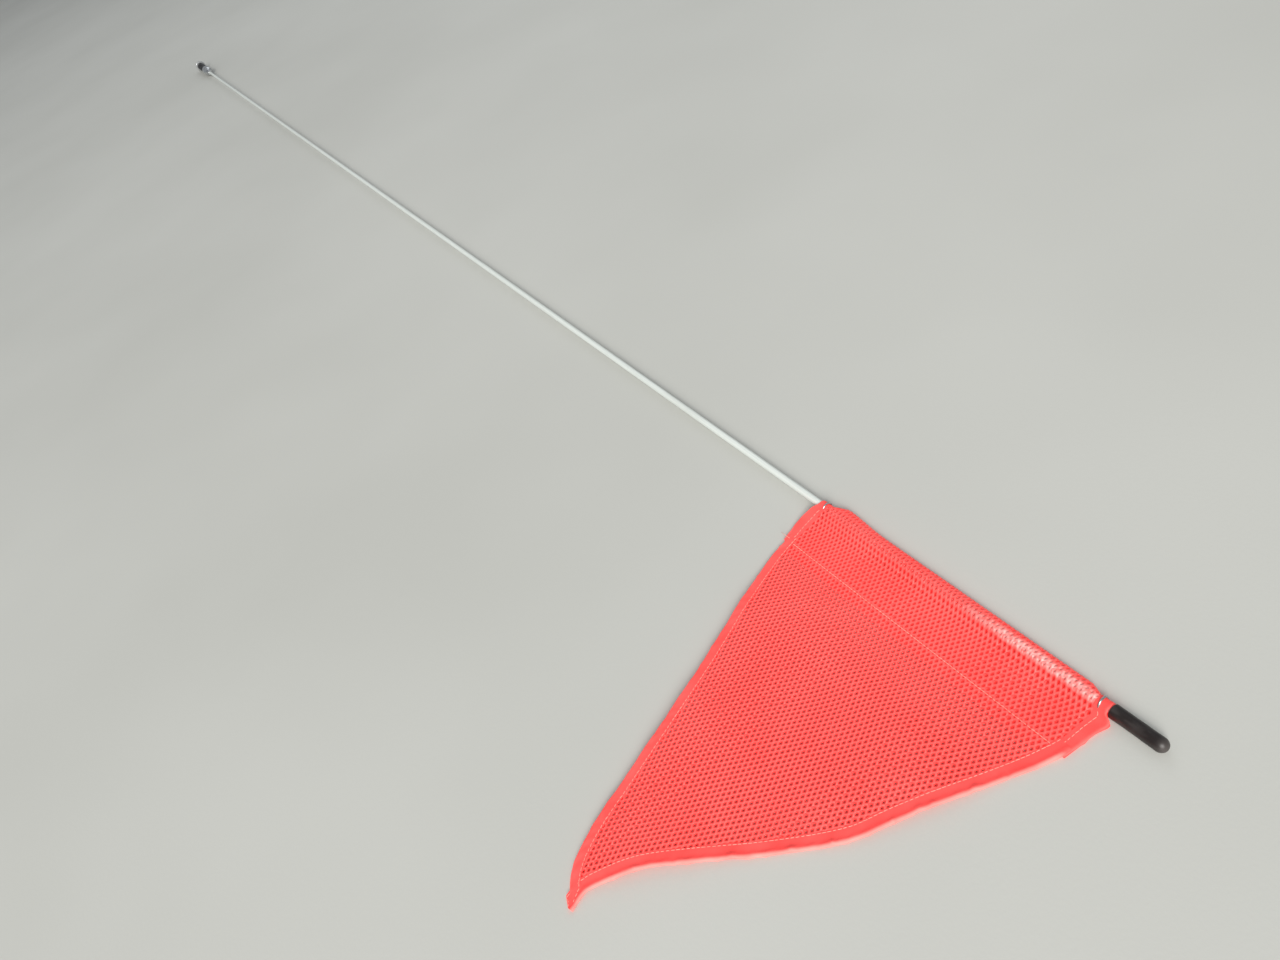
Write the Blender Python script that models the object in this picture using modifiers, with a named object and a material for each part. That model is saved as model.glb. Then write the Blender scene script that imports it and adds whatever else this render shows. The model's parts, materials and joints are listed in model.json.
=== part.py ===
"""Vehicle safety whip: a fibreglass rod with a mesh flag, lying on the ground.

The rod runs along +X from its spring base to its capped tip.  In use the tip
is the upper end, so "lower" names the base side of the flag and "upper" the
tip side.  The flag lies on the -Y side of the rod.  All sizes are in metres.
"""

import math

import bmesh
import bpy
from mathutils import Vector

# Places along the rod, measured from the rear face of the base flange.
STUD_END = -0.024
FLANGE_FRONT = 0.005
BASE_PLUG_END = 0.024
FERRULE_PLUG_START = 0.062
FERRULE_SHOULDER = 0.084
FERRULE_BODY_END = 0.112
FERRULE_NOSE = 0.145
ROD_START = 0.0885
SLEEVE_START = 2.8045
SLEEVE_LENGTH = 0.2875
CAP_START = SLEEVE_START + SLEEVE_LENGTH + 0.0006
CAP_LENGTH = 0.0395

# Radii.
FLANGE_RADIUS = 0.01325
STUD_RADIUS = 0.00395
PLUG_RADIUS = 0.0056
COLLAR_RADIUS = 0.011
NOSE_RADIUS = 0.0055
ROD_RADIUS = 0.003175
ROD_BORE_RADIUS = ROD_RADIUS + 0.00015
CAP_RADIUS = 0.0053
CAP_END_WALL = 0.003

# Base spring.
SPRING_RADIUS = 0.0077
SPRING_WIRE = 0.0018
SPRING_TURNS = 18
POINTS_PER_TURN = 12

# Mounting hardware on the stud, screwed on with room for a bracket.
BRACKET_ROOM = 0.008
WASHER_RADIUS = 0.0095
WASHER_THICKNESS = 0.0016
LOCK_WASHER_RADIUS = 0.0068
LOCK_WASHER_THICKNESS = 0.002
LOCK_WASHER_SLOT = 0.0012
LOCK_WASHER_TWIST = math.radians(25)
NUT_ACROSS_FLATS = 0.0127
NUT_THICKNESS = 0.0067
NUT_FACE_BEVEL = 0.2
NUT_CORNER_BEVEL = 0.6
STUD_CLEARANCE = 0.0003

# Flag cloth and its binding tape.
CLOTH = 0.0004
TAPE = 0.0003
TAPE_WIDTH = 0.013
BAND = 0.0006
LAYER_GAP = 0.0002
CLOTH_INSET = 0.0006
CLOTH_COLUMNS = 12
BAND_GAP = 0.0003
CLOTH_RADIUS = 0.0039
FOLD_MIDDLE = 0.0088
FOLD_ENDS = 0.0039
FOLD_EASE = 0.015
SEAM = 0.042
POCKET_EDGE = 0.044
APEX = 0.350
FLAP_HEIGHT = 0.0005
FIELD_HEIGHT = 0.0012
EDGE_LIFT = 0.0045
LIFT_REACH = 0.060
LOWER_FLARE = 0.006
UPPER_FLARE = 0.0025
FLARE_START = 0.009
THREAD_RADIUS = 0.0003
THREAD_INSET = 0.011
THREAD_POINTS = 10
POCKET_THREAD_START = 0.0065
SEAM_THREAD_GAP = 0.001

# Edge tapes, folded round the cloth between the pocket and the point.
EDGE_STATIONS = 17
EDGE_CROWDING = 1.4
EDGE_TAPE_START = POCKET_EDGE + 0.006
EDGE_TAPE_END = APEX - 0.001
EDGE_TAPE_SHARE = 0.8
TAPE_FLAT = 0.4
TAPE_SIDE_PAST = 0.0002
TAPE_NOSE_PAST = 0.0007

# Hog rings that hold the sleeve to the rod.
RING_RADIUS = 0.005
RING_WIRE = 0.0008
RING_INSET = 0.007
RING_SKEW = math.radians(6)
RING_GAP = math.radians(12)
RING_HOLE_CLEARANCE = 0.00015

# Flag edges as (distance from the rod, distance along the sleeve).
LOWER_EDGE = [(0.044, 0.0024), (0.060, 0.0062), (0.090, 0.018), (0.150, 0.0443),
              (0.210, 0.0693), (0.270, 0.090), (0.315, 0.107), (0.337, 0.121),
              (0.351, 0.1395)]
UPPER_EDGE = [(0.044, 0.2868), (0.090, 0.2706), (0.150, 0.248), (0.180, 0.237),
              (0.225, 0.2073), (0.270, 0.1743), (0.300, 0.1545), (0.325, 0.1434),
              (0.351, 0.144)]

GAP = 0.0003
ROUND = 40
SMALL_ROUND = 32

# The rod rests on the flange rim and on the upper hog ring.
RING_OUTER = RING_RADIUS + RING_WIRE
UPPER_RING_PLACE = SLEEVE_START + SLEEVE_LENGTH - RING_INSET
TILT = math.asin((FLANGE_RADIUS - RING_OUTER) / UPPER_RING_PLACE)
TIP_END = CAP_START + CAP_LENGTH
ORIGIN_X = -(STUD_END + TIP_END) / 2
ROD_Y = (APEX - FLANGE_RADIUS) / 2
FLAG_PIVOT_HEIGHT = FLANGE_RADIUS - SLEEVE_START * math.tan(TILT)


def clear_scene():
    """Remove every object of the open scene."""
    for obj in list(bpy.data.objects):
        bpy.data.objects.remove(obj, do_unlink=True)


def new_collection(name):
    """Add a collection to the scene."""
    found = bpy.data.collections.new(name)
    bpy.context.scene.collection.children.link(found)
    return found


def finish(name, color, roughness, metallic=0.0):
    """Make a Principled material."""
    mat = bpy.data.materials.new(name)
    mat.use_nodes = True
    shader = mat.node_tree.nodes["Principled BSDF"]
    shader.inputs["Base Color"].default_value = (*color, 1.0)
    shader.inputs["Roughness"].default_value = roughness
    shader.inputs["Metallic"].default_value = metallic
    mat.diffuse_color = (*color, 1.0)
    return mat


def place(name, data, parent, mat=None, group=None):
    """Put data in the scene as a named object under a parent."""
    obj = bpy.data.objects.new(name, data)
    (group or parts).objects.link(obj)
    obj.parent = parent
    if mat:
        data.materials.append(mat)
    return obj


def empty(name, location, rotation=(0.0, 0.0, 0.0), parent=None):
    """Add an empty that carries the pieces of one joint."""
    obj = bpy.data.objects.new(name, None)
    parts.objects.link(obj)
    obj.location = location
    obj.rotation_euler = rotation
    obj.parent = parent
    return obj


def smooth(mesh, angle=35.0):
    """Shade round faces smooth and leave real edges sharp."""
    mesh.shade_smooth()
    mesh.set_sharp_from_angle(angle=math.radians(angle))


def turned(name, profile, segments, parent, mat, closed=False, group=None):
    """Turn a profile of (place along the rod, radius) round the rod's axis."""
    mesh = bpy.data.meshes.new(name)
    edges = [(i, i + 1) for i in range(len(profile) - 1)]
    if closed:
        edges.append((len(profile) - 1, 0))
    mesh.from_pydata([(radius, 0.0, along) for along, radius in profile], edges, [])
    obj = place(name, mesh, parent, mat, group)
    obj.rotation_euler = (0.0, math.pi / 2, 0.0)
    turn = obj.modifiers.new("Turn", "SCREW")
    turn.steps = segments
    turn.render_steps = segments
    turn.use_merge_vertices = True
    turn.merge_threshold = 0.00002
    bpy.context.view_layer.update()
    finished = obj.evaluated_get(bpy.context.evaluated_depsgraph_get())
    obj.data = bpy.data.meshes.new_from_object(finished)
    obj.modifiers.clear()
    smooth(obj.data)
    return obj


def cutter(obj):
    """Mark an object as a cutting tool."""
    obj.hide_render = True
    obj.display_type = "WIRE"
    return obj


def cut(obj, tool, operation="DIFFERENCE"):
    """Cut an object with a closed tool."""
    boolean = obj.modifiers.new("Cut", "BOOLEAN")
    boolean.operation = operation
    boolean.solver = "EXACT"
    boolean.object = tool


def wire(name, points, radius, parent, mat, resolution=2):
    """Sweep a round wire along points."""
    curve = bpy.data.curves.new(name, "CURVE")
    curve.dimensions = "3D"
    curve.bevel_depth = radius
    curve.bevel_resolution = resolution
    curve.use_fill_caps = True
    spline = curve.splines.new("POLY")
    spline.points.add(len(points) - 1)
    for slot, point in zip(spline.points, points):
        slot.co = (*point, 1.0)
    return place(name, curve, parent, mat)


def sheet(name, rows, thickness, parent, mat):
    """Loft an open sheet through rows of points and give it a thickness."""
    mesh = bpy.data.meshes.new(name)
    shape = bmesh.new()
    grid = [[shape.verts.new(point) for point in row] for row in rows]
    for near, far in zip(grid, grid[1:]):
        for i in range(len(near) - 1):
            shape.faces.new((near[i], near[i + 1], far[i + 1], far[i]))
    shape.to_mesh(mesh)
    shape.free()
    smooth(mesh, 60.0)
    obj = place(name, mesh, parent, mat)
    solid = obj.modifiers.new("Thickness", "SOLIDIFY")
    solid.thickness = thickness
    solid.offset = 0.0
    solid.use_rim = True
    return obj


def through(points, value):
    """Read a smooth curve through (value, result) points."""
    last = len(points) - 2
    i = 0
    while i < last and value > points[i + 1][0]:
        i += 1
    (x0, y0), (x1, y1) = points[i], points[i + 1]
    before = points[max(i - 1, 0)]
    after = points[min(i + 2, len(points) - 1)]
    slope0 = (y1 - before[1]) / (x1 - before[0])
    slope1 = (after[1] - y0) / (after[0] - x0)
    u = (value - x0) / (x1 - x0)
    span = x1 - x0
    start = (1 + 2 * u) * (1 - u) ** 2 * y0 + u * (1 - u) ** 2 * slope0 * span
    end = u * u * (3 - 2 * u) * y1 + u * u * (u - 1) * slope1 * span
    return start + end


def axis_height(along):
    """Height of the rod's axis above the ground."""
    return FLANGE_RADIUS - along * math.tan(TILT)


def on_ground(along_sleeve, out, height):
    """A point of the flag, relative to the flag's pivot on the rod's axis."""
    return Vector((along_sleeve, -out, height - FLAG_PIVOT_HEIGHT))


def fold_reach(along_sleeve):
    """How far the sleeve's fold stands out behind the rod."""
    inside = min(along_sleeve, SLEEVE_LENGTH - along_sleeve) - TAPE_WIDTH
    ease = min(max(inside / FOLD_EASE, 0.0), 1.0)
    ease = ease * ease * (3 - 2 * ease)
    return FOLD_ENDS + (FOLD_MIDDLE - FOLD_ENDS) * ease


def upper_height(axis, out):
    """Height of the top layer of the pocket, falling from the rod to the seam."""
    u = min(out / POCKET_EDGE, 1.0)
    drop = (1 - u) ** 2 * (1 + 2 * u)
    return FIELD_HEIGHT + (axis + CLOTH_RADIUS - FIELD_HEIGHT) * drop


def lower_height(axis, out):
    """Height of the bottom layer of the pocket, which is the folded flap."""
    u = min(out / POCKET_EDGE, 1.0)
    return FLAP_HEIGHT + (axis - CLOTH_RADIUS - FLAP_HEIGHT) * (1 - u) ** 2


def pocket_section(along_sleeve):
    """The pocket's loop as (out, height) from the flap's edge to the seam."""
    axis = axis_height(SLEEVE_START + along_sleeve)
    steps = [POCKET_EDGE * (1 - i / 6) for i in range(6)]
    loop = [(out, lower_height(axis, out)) for out in steps]
    reach = fold_reach(along_sleeve)
    for i in range(9):
        angle = -math.pi / 2 - math.pi * i / 8
        loop.append((reach * math.cos(angle), axis + CLOTH_RADIUS * math.sin(angle)))
    loop += [(out, upper_height(axis, out)) for out in reversed(steps)]
    return loop


def end_flare(out, most):
    """How far a pocket end bulges past the sleeve between the rod and the seam."""
    u = min(max((out - FLARE_START) / (POCKET_EDGE - FLARE_START), 0.0), 1.0)
    return most * math.sin(math.pi * u)


def field_height(out, along_sleeve):
    """Height of the open flag, with its lower edge standing off the ground."""
    inward = along_sleeve - through(LOWER_EDGE, out)
    along_edge = (out - POCKET_EDGE) / (APEX - POCKET_EDGE)
    rise = math.exp(-(inward / LIFT_REACH) ** 2) * math.sin(math.pi * along_edge)
    return FIELD_HEIGHT + EDGE_LIFT * rise


def cloth_rows():
    """Columns of cloth from the flap's edge round the rod and out to the apex."""
    rows = []
    band_edge = TAPE_WIDTH + BAND_GAP
    for place_in_loop in range(len(pocket_section(0.0))):
        row = []
        for i in range(CLOTH_COLUMNS + 1):
            along = band_edge + (SLEEVE_LENGTH - 2 * band_edge) * i / CLOTH_COLUMNS
            out, height = pocket_section(along)[place_in_loop]
            row.append(on_ground(along, out, height))
        rows.append(row)
    for out in edge_stations() + [APEX]:
        low = through(LOWER_EDGE, out) + CLOTH_INSET
        high = through(UPPER_EDGE, out) - CLOTH_INSET
        row = []
        for i in range(CLOTH_COLUMNS + 1):
            share = (1 - math.cos(math.pi * i / CLOTH_COLUMNS)) / 2
            along = low + (high - low) * share
            row.append(on_ground(along, out, field_height(out, along)))
        rows.append(row)
    return rows


def band_rows(outer, inner, flare):
    """Columns of a pocket-end band, round the same loop as the cloth."""
    rows = []
    outward = math.copysign(flare, outer - inner)
    for place_in_loop in range(len(pocket_section(0.0))):
        row = []
        for share in (0.0, 0.5, 1.0):
            along = inner + (outer - inner) * share
            out, height = pocket_section(along)[place_in_loop]
            row.append(on_ground(along + end_flare(out, outward) * share, out, height))
        rows.append(row)
    return rows


def edge_frame(edge, out, inward_sign):
    """Point on an edge and the level direction from it into the flag."""
    step = 0.002
    low_out = max(out - step, edge[0][0])
    high_out = min(out + step, edge[-1][0])
    rise = through(edge, high_out) - through(edge, low_out)
    along = Vector((rise, -(high_out - low_out), 0.0)).normalized()
    inward = Vector((-along.y, along.x, 0.0))
    if inward.x * inward_sign < 0:
        inward = -inward
    return inward


def edge_stations():
    """Distances from the rod at which an edge tape is shaped."""
    reach = EDGE_TAPE_END - EDGE_TAPE_START
    shares = [1 - (1 - i / EDGE_STATIONS) ** EDGE_CROWDING for i in range(EDGE_STATIONS + 1)]
    return [EDGE_TAPE_START + reach * share for share in shares]


def tape_reach(out):
    """How wide the tape can be before it meets the tape of the other edge."""
    room = (through(UPPER_EDGE, out) - through(LOWER_EDGE, out)) / 2
    return min(TAPE_WIDTH, room * EDGE_TAPE_SHARE - LAYER_GAP)


def beside_edge(along, out, shift, lift):
    """A point beside an edge, a lift above the middle of the cloth there."""
    height = field_height(min(out - shift.y, APEX), along + shift.x)
    return on_ground(along, out, height + lift) + shift


def edge_tape_rows(edge, inward_sign):
    """A tape folded over a slanted edge, as rows of its U-shaped section."""
    lift = CLOTH / 2 + LAYER_GAP + TAPE / 2
    rows = []
    for out in edge_stations():
        inward = edge_frame(edge, out, inward_sign)
        along = through(edge, out)
        reach = tape_reach(out)
        flat = reach * TAPE_FLAT
        section = [(reach, lift), (flat, lift), (-TAPE_SIDE_PAST, lift),
                   (-TAPE_NOSE_PAST, 0.0),
                   (-TAPE_SIDE_PAST, -lift), (flat, -lift), (reach, -lift)]
        rows.append([beside_edge(along, out, inward * depth, off) for depth, off in section])
    return rows


def edge_thread_points(edge, inward_sign):
    """A row of stitches along an edge tape."""
    lift = CLOTH / 2 + LAYER_GAP + TAPE + LAYER_GAP + THREAD_RADIUS
    points = []
    for out in edge_stations():
        inward = edge_frame(edge, out, inward_sign)
        along = through(edge, out)
        inset = tape_reach(out) * THREAD_INSET / TAPE_WIDTH
        points.append(beside_edge(along, out, inward * inset, lift))
    return points


def pocket_thread_points(along):
    """A row of stitches across a pocket-end band, on its top layer."""
    axis = axis_height(SLEEVE_START + along)
    lift = BAND / 2 + LAYER_GAP + THREAD_RADIUS
    points = []
    for i in range(THREAD_POINTS + 1):
        out = POCKET_THREAD_START + (SEAM - POCKET_THREAD_START) * i / THREAD_POINTS
        points.append(on_ground(along, out, upper_height(axis, out) + lift))
    return points


def seam_thread_points():
    """The row of stitches that closes the pocket."""
    start = TAPE_WIDTH + SEAM_THREAD_GAP
    points = []
    for i in range(THREAD_POINTS + 1):
        along = start + (SLEEVE_LENGTH - 2 * start) * i / THREAD_POINTS
        axis = axis_height(SLEEVE_START + along)
        height = upper_height(axis, SEAM) + CLOTH / 2 + LAYER_GAP + THREAD_RADIUS
        points.append(on_ground(along, SEAM, height))
    return points


def ring_points(along_sleeve):
    """A hog ring's centreline, open by a small gap under the flag side."""
    count = 28
    start = -math.pi / 4 + RING_GAP / 2
    span = 2 * math.pi - RING_GAP
    centre = Vector((along_sleeve, 0.0, -along_sleeve * math.tan(TILT)))
    points = []
    for i in range(count + 1):
        angle = start + span * i / count
        out = RING_RADIUS * math.cos(angle)
        skew = out * math.tan(RING_SKEW)
        points.append(centre + Vector((skew, -out, RING_RADIUS * math.sin(angle))))
    return points


def ring_cutter(name, along_sleeve, parent):
    """A torus a little fatter than a hog ring, which opens the holes it passes through."""
    bpy.ops.mesh.primitive_torus_add(
        major_segments=32, minor_segments=8,
        major_radius=RING_RADIUS, minor_radius=RING_WIRE + RING_HOLE_CLEARANCE)
    tool = bpy.context.object
    tool.name = name
    for group in list(tool.users_collection):
        group.objects.unlink(tool)
    cutters.objects.link(tool)
    tool.parent = parent
    tool.location = (along_sleeve, 0.0, -along_sleeve * math.tan(TILT))
    tool.rotation_euler = (0.0, math.pi / 2, RING_SKEW)
    return cutter(tool)


def arc(centre, radius, start, end, count):
    """Points of a profile arc, as (along, radius) pairs."""
    points = []
    for i in range(count + 1):
        angle = math.radians(start + (end - start) * i / count)
        points.append((centre + radius * math.cos(angle), radius * math.sin(angle)))
    return points


def build_base(line):
    """The flanged stud, its hardware and the spring."""
    chamfer = 0.0006
    stud_chamfer = 0.001
    turned("base_stud", [
        (BASE_PLUG_END, 0.0), (BASE_PLUG_END, PLUG_RADIUS - chamfer),
        (BASE_PLUG_END - chamfer, PLUG_RADIUS), (FLANGE_FRONT, PLUG_RADIUS),
        (FLANGE_FRONT, FLANGE_RADIUS - chamfer), (FLANGE_FRONT - chamfer, FLANGE_RADIUS),
        (chamfer, FLANGE_RADIUS), (0.0, FLANGE_RADIUS - chamfer),
        (0.0, STUD_RADIUS), (STUD_END + stud_chamfer, STUD_RADIUS),
        (STUD_END, STUD_RADIUS - stud_chamfer), (STUD_END, 0.0)],
        ROUND, line, zinc)
    hole = STUD_RADIUS + STUD_CLEARANCE
    top = -BRACKET_ROOM
    bottom = top - WASHER_THICKNESS
    turned("flat_washer", [(top, hole), (top, WASHER_RADIUS), (bottom, WASHER_RADIUS),
                           (bottom, hole)], SMALL_ROUND, line, zinc, closed=True)
    top = bottom - GAP
    bottom = top - LOCK_WASHER_THICKNESS
    lock = turned("lock_washer", [(top, hole), (top, LOCK_WASHER_RADIUS),
                                  (bottom, LOCK_WASHER_RADIUS), (bottom, hole)],
                  SMALL_ROUND, line, zinc, closed=True)
    bpy.ops.mesh.primitive_cube_add(size=1.0)
    slot = bpy.context.object
    slot.name = "lock_washer_slot"
    for group in list(slot.users_collection):
        group.objects.unlink(slot)
    cutters.objects.link(slot)
    slot.parent = line
    slot.scale = (3 * LOCK_WASHER_THICKNESS, LOCK_WASHER_SLOT, LOCK_WASHER_RADIUS)
    slot.location = ((top + bottom) / 2, 0.0, 0.9 * LOCK_WASHER_RADIUS)
    slot.rotation_euler = (0.0, 0.0, LOCK_WASHER_TWIST)
    cut(lock, cutter(slot))
    build_nut(line, bottom - GAP, hole)
    spring_start = FLANGE_FRONT + GAP + SPRING_WIRE
    spring_end = FERRULE_SHOULDER - GAP - SPRING_WIRE
    count = SPRING_TURNS * POINTS_PER_TURN
    points = []
    for i in range(count + 1):
        angle = 2 * math.pi * i / POINTS_PER_TURN
        along = spring_start + (spring_end - spring_start) * i / count
        points.append((along, SPRING_RADIUS * math.cos(angle), SPRING_RADIUS * math.sin(angle)))
    wire("base_spring", points, SPRING_WIRE, line, black_steel)


def build_nut(line, top, hole):
    """A hexagon nut with both faces chamfered."""
    corner = NUT_ACROSS_FLATS / math.sqrt(3)
    bottom = top - NUT_THICKNESS
    middle = (top + bottom) / 2
    mesh = bpy.data.meshes.new("mounting_nut")
    shape = bmesh.new()
    bmesh.ops.create_cone(shape, cap_ends=True, segments=6, radius1=corner,
                          radius2=corner, depth=NUT_THICKNESS)
    shape.to_mesh(mesh)
    shape.free()
    nut = place("mounting_nut", mesh, line, zinc)
    nut.location = (middle, 0.0, 0.0)
    nut.rotation_euler = (0.0, math.pi / 2, 0.0)
    half_flat = NUT_ACROSS_FLATS / 2
    bevel = corner - half_flat
    face = half_flat - bevel * NUT_FACE_BEVEL
    drop = bevel * NUT_CORNER_BEVEL
    past = corner + GAP
    drum = turned("nut_chamfer", [
        (top + GAP, 0.0), (top + GAP, face), (top - drop, past),
        (bottom + drop, past), (bottom - GAP, face), (bottom - GAP, 0.0)],
        ROUND, line, None, group=cutters)
    cut(nut, cutter(drum), "INTERSECT")
    drill = turned("nut_bore", [(top + GAP, 0.0), (top + GAP, hole), (bottom - GAP, hole),
                                (bottom - GAP, 0.0)], SMALL_ROUND, line, None, group=cutters)
    cut(nut, cutter(drill))


def build_whip(line):
    """The ferrule, the rod and the cap."""
    chamfer = 0.0008
    turned("rod_ferrule", [
        (ROD_START - GAP, 0.0), (ROD_START - GAP, ROD_BORE_RADIUS),
        (FERRULE_NOSE, ROD_BORE_RADIUS), (FERRULE_NOSE, NOSE_RADIUS - chamfer),
        (FERRULE_NOSE - chamfer, NOSE_RADIUS), (FERRULE_BODY_END, COLLAR_RADIUS - 2 * chamfer),
        (FERRULE_BODY_END - chamfer, COLLAR_RADIUS), (FERRULE_SHOULDER + chamfer, COLLAR_RADIUS),
        (FERRULE_SHOULDER, COLLAR_RADIUS - chamfer), (FERRULE_SHOULDER, PLUG_RADIUS),
        (FERRULE_PLUG_START + chamfer, PLUG_RADIUS), (FERRULE_PLUG_START, PLUG_RADIUS - chamfer),
        (FERRULE_PLUG_START, 0.0)], ROUND, line, zinc)
    rod_end = TIP_END - CAP_END_WALL - GAP
    turned("whip_rod", [(rod_end, 0.0), (rod_end, ROD_RADIUS), (ROD_START, ROD_RADIUS),
                        (ROD_START, 0.0)], SMALL_ROUND, line, fibreglass)
    dome = arc(TIP_END - CAP_RADIUS, CAP_RADIUS, 0.0, 90.0, 6)
    bore_end = TIP_END - CAP_END_WALL
    turned("tip_cap", dome + [
        (CAP_START + 0.0005, CAP_RADIUS), (CAP_START, CAP_RADIUS - 0.0005),
        (CAP_START, ROD_BORE_RADIUS), (bore_end, ROD_BORE_RADIUS), (bore_end, 0.0)],
        ROUND, line, black_vinyl)


def build_flag(pivot):
    """The folded cloth, its tapes, its stitches and the two rings."""
    sheet("flag_cloth", cloth_rows(), CLOTH, pivot, flag_red)
    lower_band = sheet("lower_pocket_binding", band_rows(0.0, TAPE_WIDTH, LOWER_FLARE),
                       BAND, pivot, tape_red)
    upper_band = sheet("upper_pocket_binding",
                       band_rows(SLEEVE_LENGTH, SLEEVE_LENGTH - TAPE_WIDTH, UPPER_FLARE),
                       BAND, pivot, tape_red)
    sheet("lower_edge_binding", edge_tape_rows(LOWER_EDGE, 1), TAPE, pivot, tape_red)
    sheet("upper_edge_binding", edge_tape_rows(UPPER_EDGE, -1), TAPE, pivot, tape_red)
    wire("lower_edge_thread", edge_thread_points(LOWER_EDGE, 1), THREAD_RADIUS, pivot, thread)
    wire("upper_edge_thread", edge_thread_points(UPPER_EDGE, -1), THREAD_RADIUS, pivot, thread)
    wire("lower_pocket_thread", pocket_thread_points(THREAD_INSET), THREAD_RADIUS, pivot, thread)
    wire("upper_pocket_thread", pocket_thread_points(SLEEVE_LENGTH - THREAD_INSET),
         THREAD_RADIUS, pivot, thread)
    wire("pocket_seam_thread", seam_thread_points(), THREAD_RADIUS, pivot, thread)
    for name, along, band in (("lower_hog_ring", RING_INSET, lower_band),
                              ("upper_hog_ring", SLEEVE_LENGTH - RING_INSET, upper_band)):
        wire(name, ring_points(along), RING_WIRE, pivot, zinc)
        cut(band, ring_cutter(name + "_path", along, pivot))


clear_scene()
parts = new_collection("safety_whip_flag")
cutters = new_collection("cutters")

zinc = finish("zinc plated steel", (0.62, 0.63, 0.64), 0.32, 1.0)
black_steel = finish("black coated steel", (0.02, 0.02, 0.022), 0.45, 0.3)
fibreglass = finish("white fibreglass", (0.76, 0.80, 0.77), 0.38)
black_vinyl = finish("black vinyl", (0.018, 0.015, 0.014), 0.42)
flag_red = finish("fluorescent mesh", (1.0, 0.12, 0.09), 0.75)
tape_red = finish("fluorescent tape", (1.0, 0.16, 0.13), 0.65)
thread = finish("pale thread", (1.0, 0.40, 0.36), 0.7)

whip_line = empty("whip_line", (ORIGIN_X, ROD_Y, FLANGE_RADIUS), (0.0, TILT, 0.0))
flag_pivot = empty("flag_pivot", (ORIGIN_X + SLEEVE_START, ROD_Y, FLAG_PIVOT_HEIGHT))

build_base(whip_line)
build_whip(whip_line)
build_flag(flag_pivot)
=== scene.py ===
"""A vehicle safety whip on the floor: spring base, fibreglass rod, mesh flag and end cap.

Places along the rod are measured from the rear face of the base flange.  Places
on the flag are (s, w): s runs along the sleeve from its base end, and w runs
across the cloth from the sleeve's fold, positive on the upper layer.  Beyond the
wrap round the rod, a point lies t = |w| - FOLD_CLOTH out from the rod.  The slanted
edges run from t = EDGE_START, and the sleeve is SLEEVE long between its ends.  "Lower"
names the base side of the flag and "upper" the tip side.  A turned end closes on a
ring PINHOLE from the axis.  All sizes are in metres.
"""

import json
import logging
import math
from dataclasses import dataclass
from enum import Enum
from typing import Any, Callable, Mapping, Optional, Sequence, Union

import bpy
import numpy as np
from mathutils import Matrix, Vector


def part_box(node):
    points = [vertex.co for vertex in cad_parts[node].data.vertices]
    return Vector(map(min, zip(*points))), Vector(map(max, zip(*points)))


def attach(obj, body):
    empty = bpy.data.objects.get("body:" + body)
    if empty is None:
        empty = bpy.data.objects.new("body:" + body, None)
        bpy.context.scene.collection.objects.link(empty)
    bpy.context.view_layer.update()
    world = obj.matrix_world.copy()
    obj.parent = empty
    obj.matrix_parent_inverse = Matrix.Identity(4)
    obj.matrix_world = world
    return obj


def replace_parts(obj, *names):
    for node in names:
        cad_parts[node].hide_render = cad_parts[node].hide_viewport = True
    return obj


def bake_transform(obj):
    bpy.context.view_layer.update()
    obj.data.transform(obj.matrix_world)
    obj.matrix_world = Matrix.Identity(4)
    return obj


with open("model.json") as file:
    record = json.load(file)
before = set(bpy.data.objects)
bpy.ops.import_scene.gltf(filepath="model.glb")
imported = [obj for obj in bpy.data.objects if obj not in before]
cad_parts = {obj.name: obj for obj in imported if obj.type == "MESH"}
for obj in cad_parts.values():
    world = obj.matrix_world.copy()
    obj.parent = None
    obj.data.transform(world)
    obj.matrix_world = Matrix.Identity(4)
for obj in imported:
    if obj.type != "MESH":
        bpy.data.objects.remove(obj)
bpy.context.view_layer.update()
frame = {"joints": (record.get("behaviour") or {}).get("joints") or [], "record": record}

SEED = 20
FOLD_CLOTH = 0.010
SLEEVE = 0.2875
EDGE_START = 0.036
PINHOLE = 0.0002

log = logging.getLogger("safety_whip")
Color = tuple[float, float, float]
Pair = tuple[float, float]
Array = np.ndarray
Piece = bpy.types.Object
Material = bpy.types.Material
Shape = Callable[[Array, Array, Array], Array]


# ---------------------------------------------------------------- shader bench


class Signal:
    """One shader socket, with arithmetic that adds Math nodes to its bench."""

    def __init__(self, bench: "Bench", socket: bpy.types.NodeSocket) -> None:
        """Keep the bench that the socket belongs to."""
        self.bench = bench
        self.socket = socket

    def _math(self, operation: str, first: "Value", second: "Value") -> "Signal":
        """Add one Math node.

        Args:
            operation: the Math node's operation.
            first: its first operand.
            second: its second operand.

        Returns:
            The node's result.
        """
        made = self.bench.node("ShaderNodeMath", {"operation": operation}, {0: first, 1: second})
        return Signal(self.bench, made.outputs[0])

    def __add__(self, other: "Value") -> "Signal":
        """Add a value."""
        return self._math("ADD", self, other)

    def __radd__(self, other: "Value") -> "Signal":
        """Add to a value."""
        return self._math("ADD", other, self)

    def __sub__(self, other: "Value") -> "Signal":
        """Subtract a value."""
        return self._math("SUBTRACT", self, other)

    def __rsub__(self, other: "Value") -> "Signal":
        """Subtract from a value."""
        return self._math("SUBTRACT", other, self)

    def __mul__(self, other: "Value") -> "Signal":
        """Multiply by a value."""
        return self._math("MULTIPLY", self, other)

    def __rmul__(self, other: "Value") -> "Signal":
        """Multiply a value."""
        return self._math("MULTIPLY", other, self)

    def sine(self) -> "Signal":
        """Take the sine."""
        return self._math("SINE", self, 0.0)

    def between(self, low: float, high: float) -> "Signal":
        """Map low to 0 and high to 1, held inside that range."""
        made = self.bench.node("ShaderNodeMapRange", {"clamp": True},
                               {"Value": self, "From Min": low, "From Max": high})
        return Signal(self.bench, made.outputs[0])


Value = Union[float, Signal]


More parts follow.
